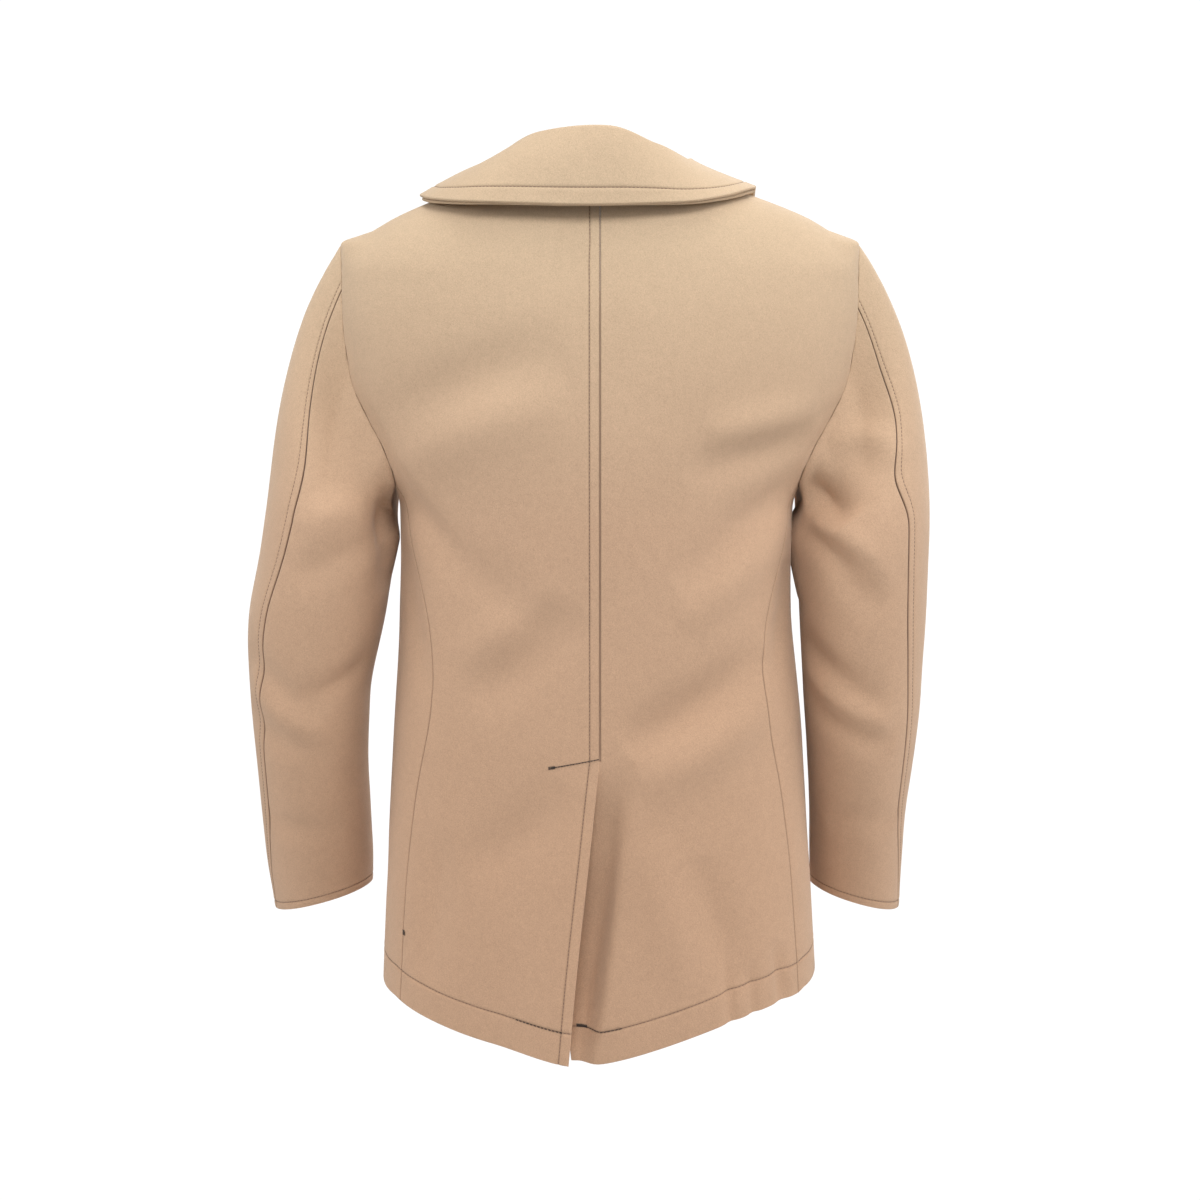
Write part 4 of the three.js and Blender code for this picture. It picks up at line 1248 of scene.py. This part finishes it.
def mix(tree, kind, share, a, b):
    made = node(tree, "ShaderNodeMix", data_type="RGBA", blend_type=kind)
    for socket, value in ((0, share), (6, a), (7, b)):
        if hasattr(value, "is_linked"):
            tree.links.new(value, made.inputs[socket])
        elif isinstance(value, tuple):
            made.inputs[socket].default_value = (*value, 1)
        else:
            made.inputs[socket].default_value = value
    return made.outputs[2]


def grey(value):
    return (value, value, value)


def melton():
    """Tan wool melton: felted, with a short nap of paler and darker fibres, paler and yellower towards the
    shoulders partly by painted top light, and painted shade and dirt in its seams.
    """
    made, tree, shader = principled(
        "wool_melton",
        Roughness=0.93,
        Specular_IOR_Level=0.2,
        Sheen_Weight=0.3,
        Sheen_Roughness=0.5,
        Sheen_Tint=(1.0, 0.9, 0.76, 1),
    )
    where = node(tree, "ShaderNodeTexCoord").outputs["Object"]
    # paler higher up: partly painted top light
    height = node(tree, "ShaderNodeSeparateXYZ", {"Vector": where}).outputs["Z"]
    up = node(tree, "ShaderNodeMapRange", {"Value": height})
    up.inputs["From Min"].default_value = -0.62
    up.inputs["From Max"].default_value = -0.05
    tone = ramp(tree, up.outputs[0], (0.0, LOW_TAN), (0.55, MID_TAN), (1.0, HIGH_TAN))
    broad = noise_map(tree, where, 6.0, 2.0)
    mottle = noise_map(tree, where, 130.0, 3.0, 0.6)
    fibre = noise_map(tree, where, 800.0, 3.0, 0.65, (1.0, 1.0, 0.7), (0.0, 0.35, 0.0))
    grain = noise_map(tree, where, 1500.0, 2.0, 0.6)
    for source, *stops in (
        (broad, (0.3, (0.97, 0.965, 0.96)), (0.7, grey(1.02))),
        (mottle, (0.3, grey(0.97)), (0.7, grey(1.02))),
        (fibre, (0.28, (0.91, 0.9, 0.89)), (0.5, grey(1.0)), (0.75, (1.06, 1.05, 1.04))),
        (grain, (0.3, grey(0.88)), (0.7, grey(1.1))),
    ):
        tone = mix(tree, "MULTIPLY", 1.0, tone, ramp(tree, source, *stops))
    # the seams' and stitching's darkness: painted shade in their grooves, and dirt
    worn = node(tree, "ShaderNodeAttribute", attribute_name="seam").outputs["Fac"]
    tone = mix(tree, "MIX", worn, tone, SEAM_SHADE_AND_DIRT_BROWN)
    tree.links.new(tone, shader.inputs["Base Color"])
    rough = node(tree, "ShaderNodeMapRange", {"Value": fibre})
    rough.inputs["To Min"].default_value = 0.86
    rough.inputs["To Max"].default_value = 1.0
    tree.links.new(rough.outputs[0], shader.inputs["Roughness"])
    nap = node(tree, "ShaderNodeMath", {0: fibre, 1: grain}, operation="ADD")
    felt = node(tree, "ShaderNodeMath", {0: nap.outputs[0], 1: mottle}, operation="ADD")
    bump = node(tree, "ShaderNodeBump", {"Height": felt.outputs[0]}, Strength=0.42, Distance=0.0006)
    tree.links.new(bump.outputs[0], shader.inputs["Normal"])
    return made


def thread(name, colour, dark):
    """Twisted thread: fine bands of two tones."""
    made, tree, shader = principled(name, Roughness=0.75, Sheen_Weight=0.2, Sheen_Roughness=0.4)
    where = node(tree, "ShaderNodeTexCoord").outputs["Object"]
    twist = noise_map(tree, where, 2600.0, 2.0, 0.6, (1.0, 1.0, 0.6), (0.6, 0.3, 0.0))
    tree.links.new(ramp(tree, twist, (0.35, dark), (0.65, colour)), shader.inputs["Base Color"])
    bump = node(tree, "ShaderNodeBump", {"Height": twist}, Strength=0.5, Distance=0.0002)
    tree.links.new(bump.outputs[0], shader.inputs["Normal"])
    return made


def horn():
    """Dark brown polished button stuff with paler clouds."""
    made, tree, shader = principled("button_brown", Roughness=0.32, Coat_Weight=0.25, Coat_Roughness=0.2)
    where = node(tree, "ShaderNodeTexCoord").outputs["Object"]
    cloud = noise_map(tree, where, 90.0, 4.0, 0.6, (1.0, 1.0, 2.2), (0.2, 0.4, 0.3))
    dark, middle, pale = (0.022, 0.012, 0.007), (0.075, 0.038, 0.02), (0.16, 0.09, 0.05)
    tone = ramp(tree, cloud, (0.3, dark), (0.55, middle), (0.8, pale))
    tree.links.new(tone, shader.inputs["Base Color"])
    worn = noise_map(tree, where, 800.0, 3.0, 0.6)
    rough = node(tree, "ShaderNodeMapRange", {"Value": worn})
    rough.inputs["To Min"].default_value = 0.24
    rough.inputs["To Max"].default_value = 0.42
    tree.links.new(rough.outputs[0], shader.inputs["Roughness"])
    return made


# ---- The coat ----

wool = melton()
brown_thread = thread("thread_brown", (0.2, 0.115, 0.075), (0.09, 0.05, 0.032))
dark_thread = thread("thread_dark", (0.035, 0.025, 0.02), (0.012, 0.009, 0.008))
horn_brown = horn()

for side in (1, -1):
    hand = HAND[side]
    stitches(f"stitching_back_{hand}", back_panel(side, wool), brown_thread)
    stitches(f"stitching_front_{hand}", front_panel(side, wool), brown_thread)
    stitches(f"stitching_sleeve_{hand}", sleeve(side, wool), brown_thread)
    stitches(f"stitching_lapel_{hand}", lapel(side, wool), brown_thread)
    stitches(f"stitching_pocket_{hand}", pocket_welt(side, wool), brown_thread)
stitches("stitching_collar", collar(wool), brown_thread)
buttons(horn_brown, dark_thread)
dark_stitching(dark_thread)

for name, (width, length, area) in FLAT.items():
    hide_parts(name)

# ---- Stage, lights and camera ----

PALE = 1.05  # how bright the floor and the walls look
FLOOR = {"half": 40000, "z": -1250}
MIDDLE = (0, 0, -0.35)  # where the lights aim, in metres


def stage_floor():
    half, z = FLOOR["half"], FLOOR["z"]
    corners = [(-half, -half, z), (half, -half, z), (half, half, z), (-half, half, z)]
    solid("floor", corners, [(0, 1, 2, 3)], pale_floor())


def pale_floor():
    """Pale and matt, and to the camera as bright as the studio's walls."""
    made, tree, shader = principled("pale_floor", Roughness=0.9, Specular_IOR_Level=0.1)
    where = node(tree, "ShaderNodeTexCoord").outputs["Object"]
    cloud = noise_map(tree, where, 0.8, 2.0)
    tone = ramp(tree, cloud, (0.3, grey(0.78)), (0.7, grey(0.8)))
    tree.links.new(tone, shader.inputs["Base Color"])
    glow = node(tree, "ShaderNodeEmission", Strength=PALE)
    seen = node(tree, "ShaderNodeLightPath").outputs["Is Camera Ray"]
    both = node(tree, "ShaderNodeMixShader", {0: seen, 1: shader.outputs[0], 2: glow.outputs[0]})
    tree.links.new(both.outputs[0], tree.nodes["Material Output"].inputs["Surface"])
    return made


def area_light(name, place, aim, size, watts, colour=(1, 1, 1)):
    data = bpy.data.lights.new(name, "AREA")
    data.shape, data.size, data.energy, data.color = "DISK", size, watts, colour
    made = placed(name, data)
    made.location = place
    made.rotation_euler = (Vector(aim) - Vector(place)).to_track_quat("-Z", "Y").to_euler()


def world_light(shown, strength):
    """Soft light from all round, on walls that look paler than the light they give."""
    world = bpy.data.worlds.new("studio")
    world.use_nodes = True
    tree = world.node_tree
    soft = tree.nodes["Background"]
    soft.inputs["Strength"].default_value = strength
    wall = node(tree, "ShaderNodeBackground", Strength=shown)
    for back in (soft, wall):
        back.inputs["Color"].default_value = (1, 1, 1, 1)
    seen = node(tree, "ShaderNodeLightPath").outputs["Is Camera Ray"]
    both = node(tree, "ShaderNodeMixShader", {0: seen, 1: soft.outputs[0], 2: wall.outputs[0]})
    tree.links.new(both.outputs[0], tree.nodes["World Output"].inputs["Surface"])
    bpy.context.scene.world = world


def camera(azimuth, elevation, distance, aim, lens):
    data = bpy.data.cameras.new("camera")
    data.lens, data.sensor_width = lens, 36
    data.clip_end = 200
    made = placed("camera", data)
    a, e = math.radians(azimuth), math.radians(elevation)
    back = Vector((math.sin(a) * math.cos(e), -math.cos(a) * math.cos(e), math.sin(e)))
    made.location = Vector(aim) + back * distance
    made.rotation_euler = (-back).to_track_quat("-Z", "Y").to_euler()
    bpy.context.scene.camera = made


stage_floor()
world_light(PALE, 0.21)
area_light("key", (-0.15, 2.2, 2.4), MIDDLE, 1.4, 76)
area_light("side_left", (2.5, 0.7, 0.9), MIDDLE, 1.6, 30)
area_light("side_right", (-2.5, 0.7, 0.9), MIDDLE, 1.6, 34)
area_light("top", (0.0, 0.1, 2.2), (0, 0, -0.2), 1.6, 24, (1.0, 0.98, 0.93))
area_light("front_fill", (-1.1, -2.6, 1.2), MIDDLE, 2.2, 60)
camera(180, 12, 1.6, (0, 0.02, -0.385), 52)
bpy.context.scene.view_settings.view_transform = "Standard"
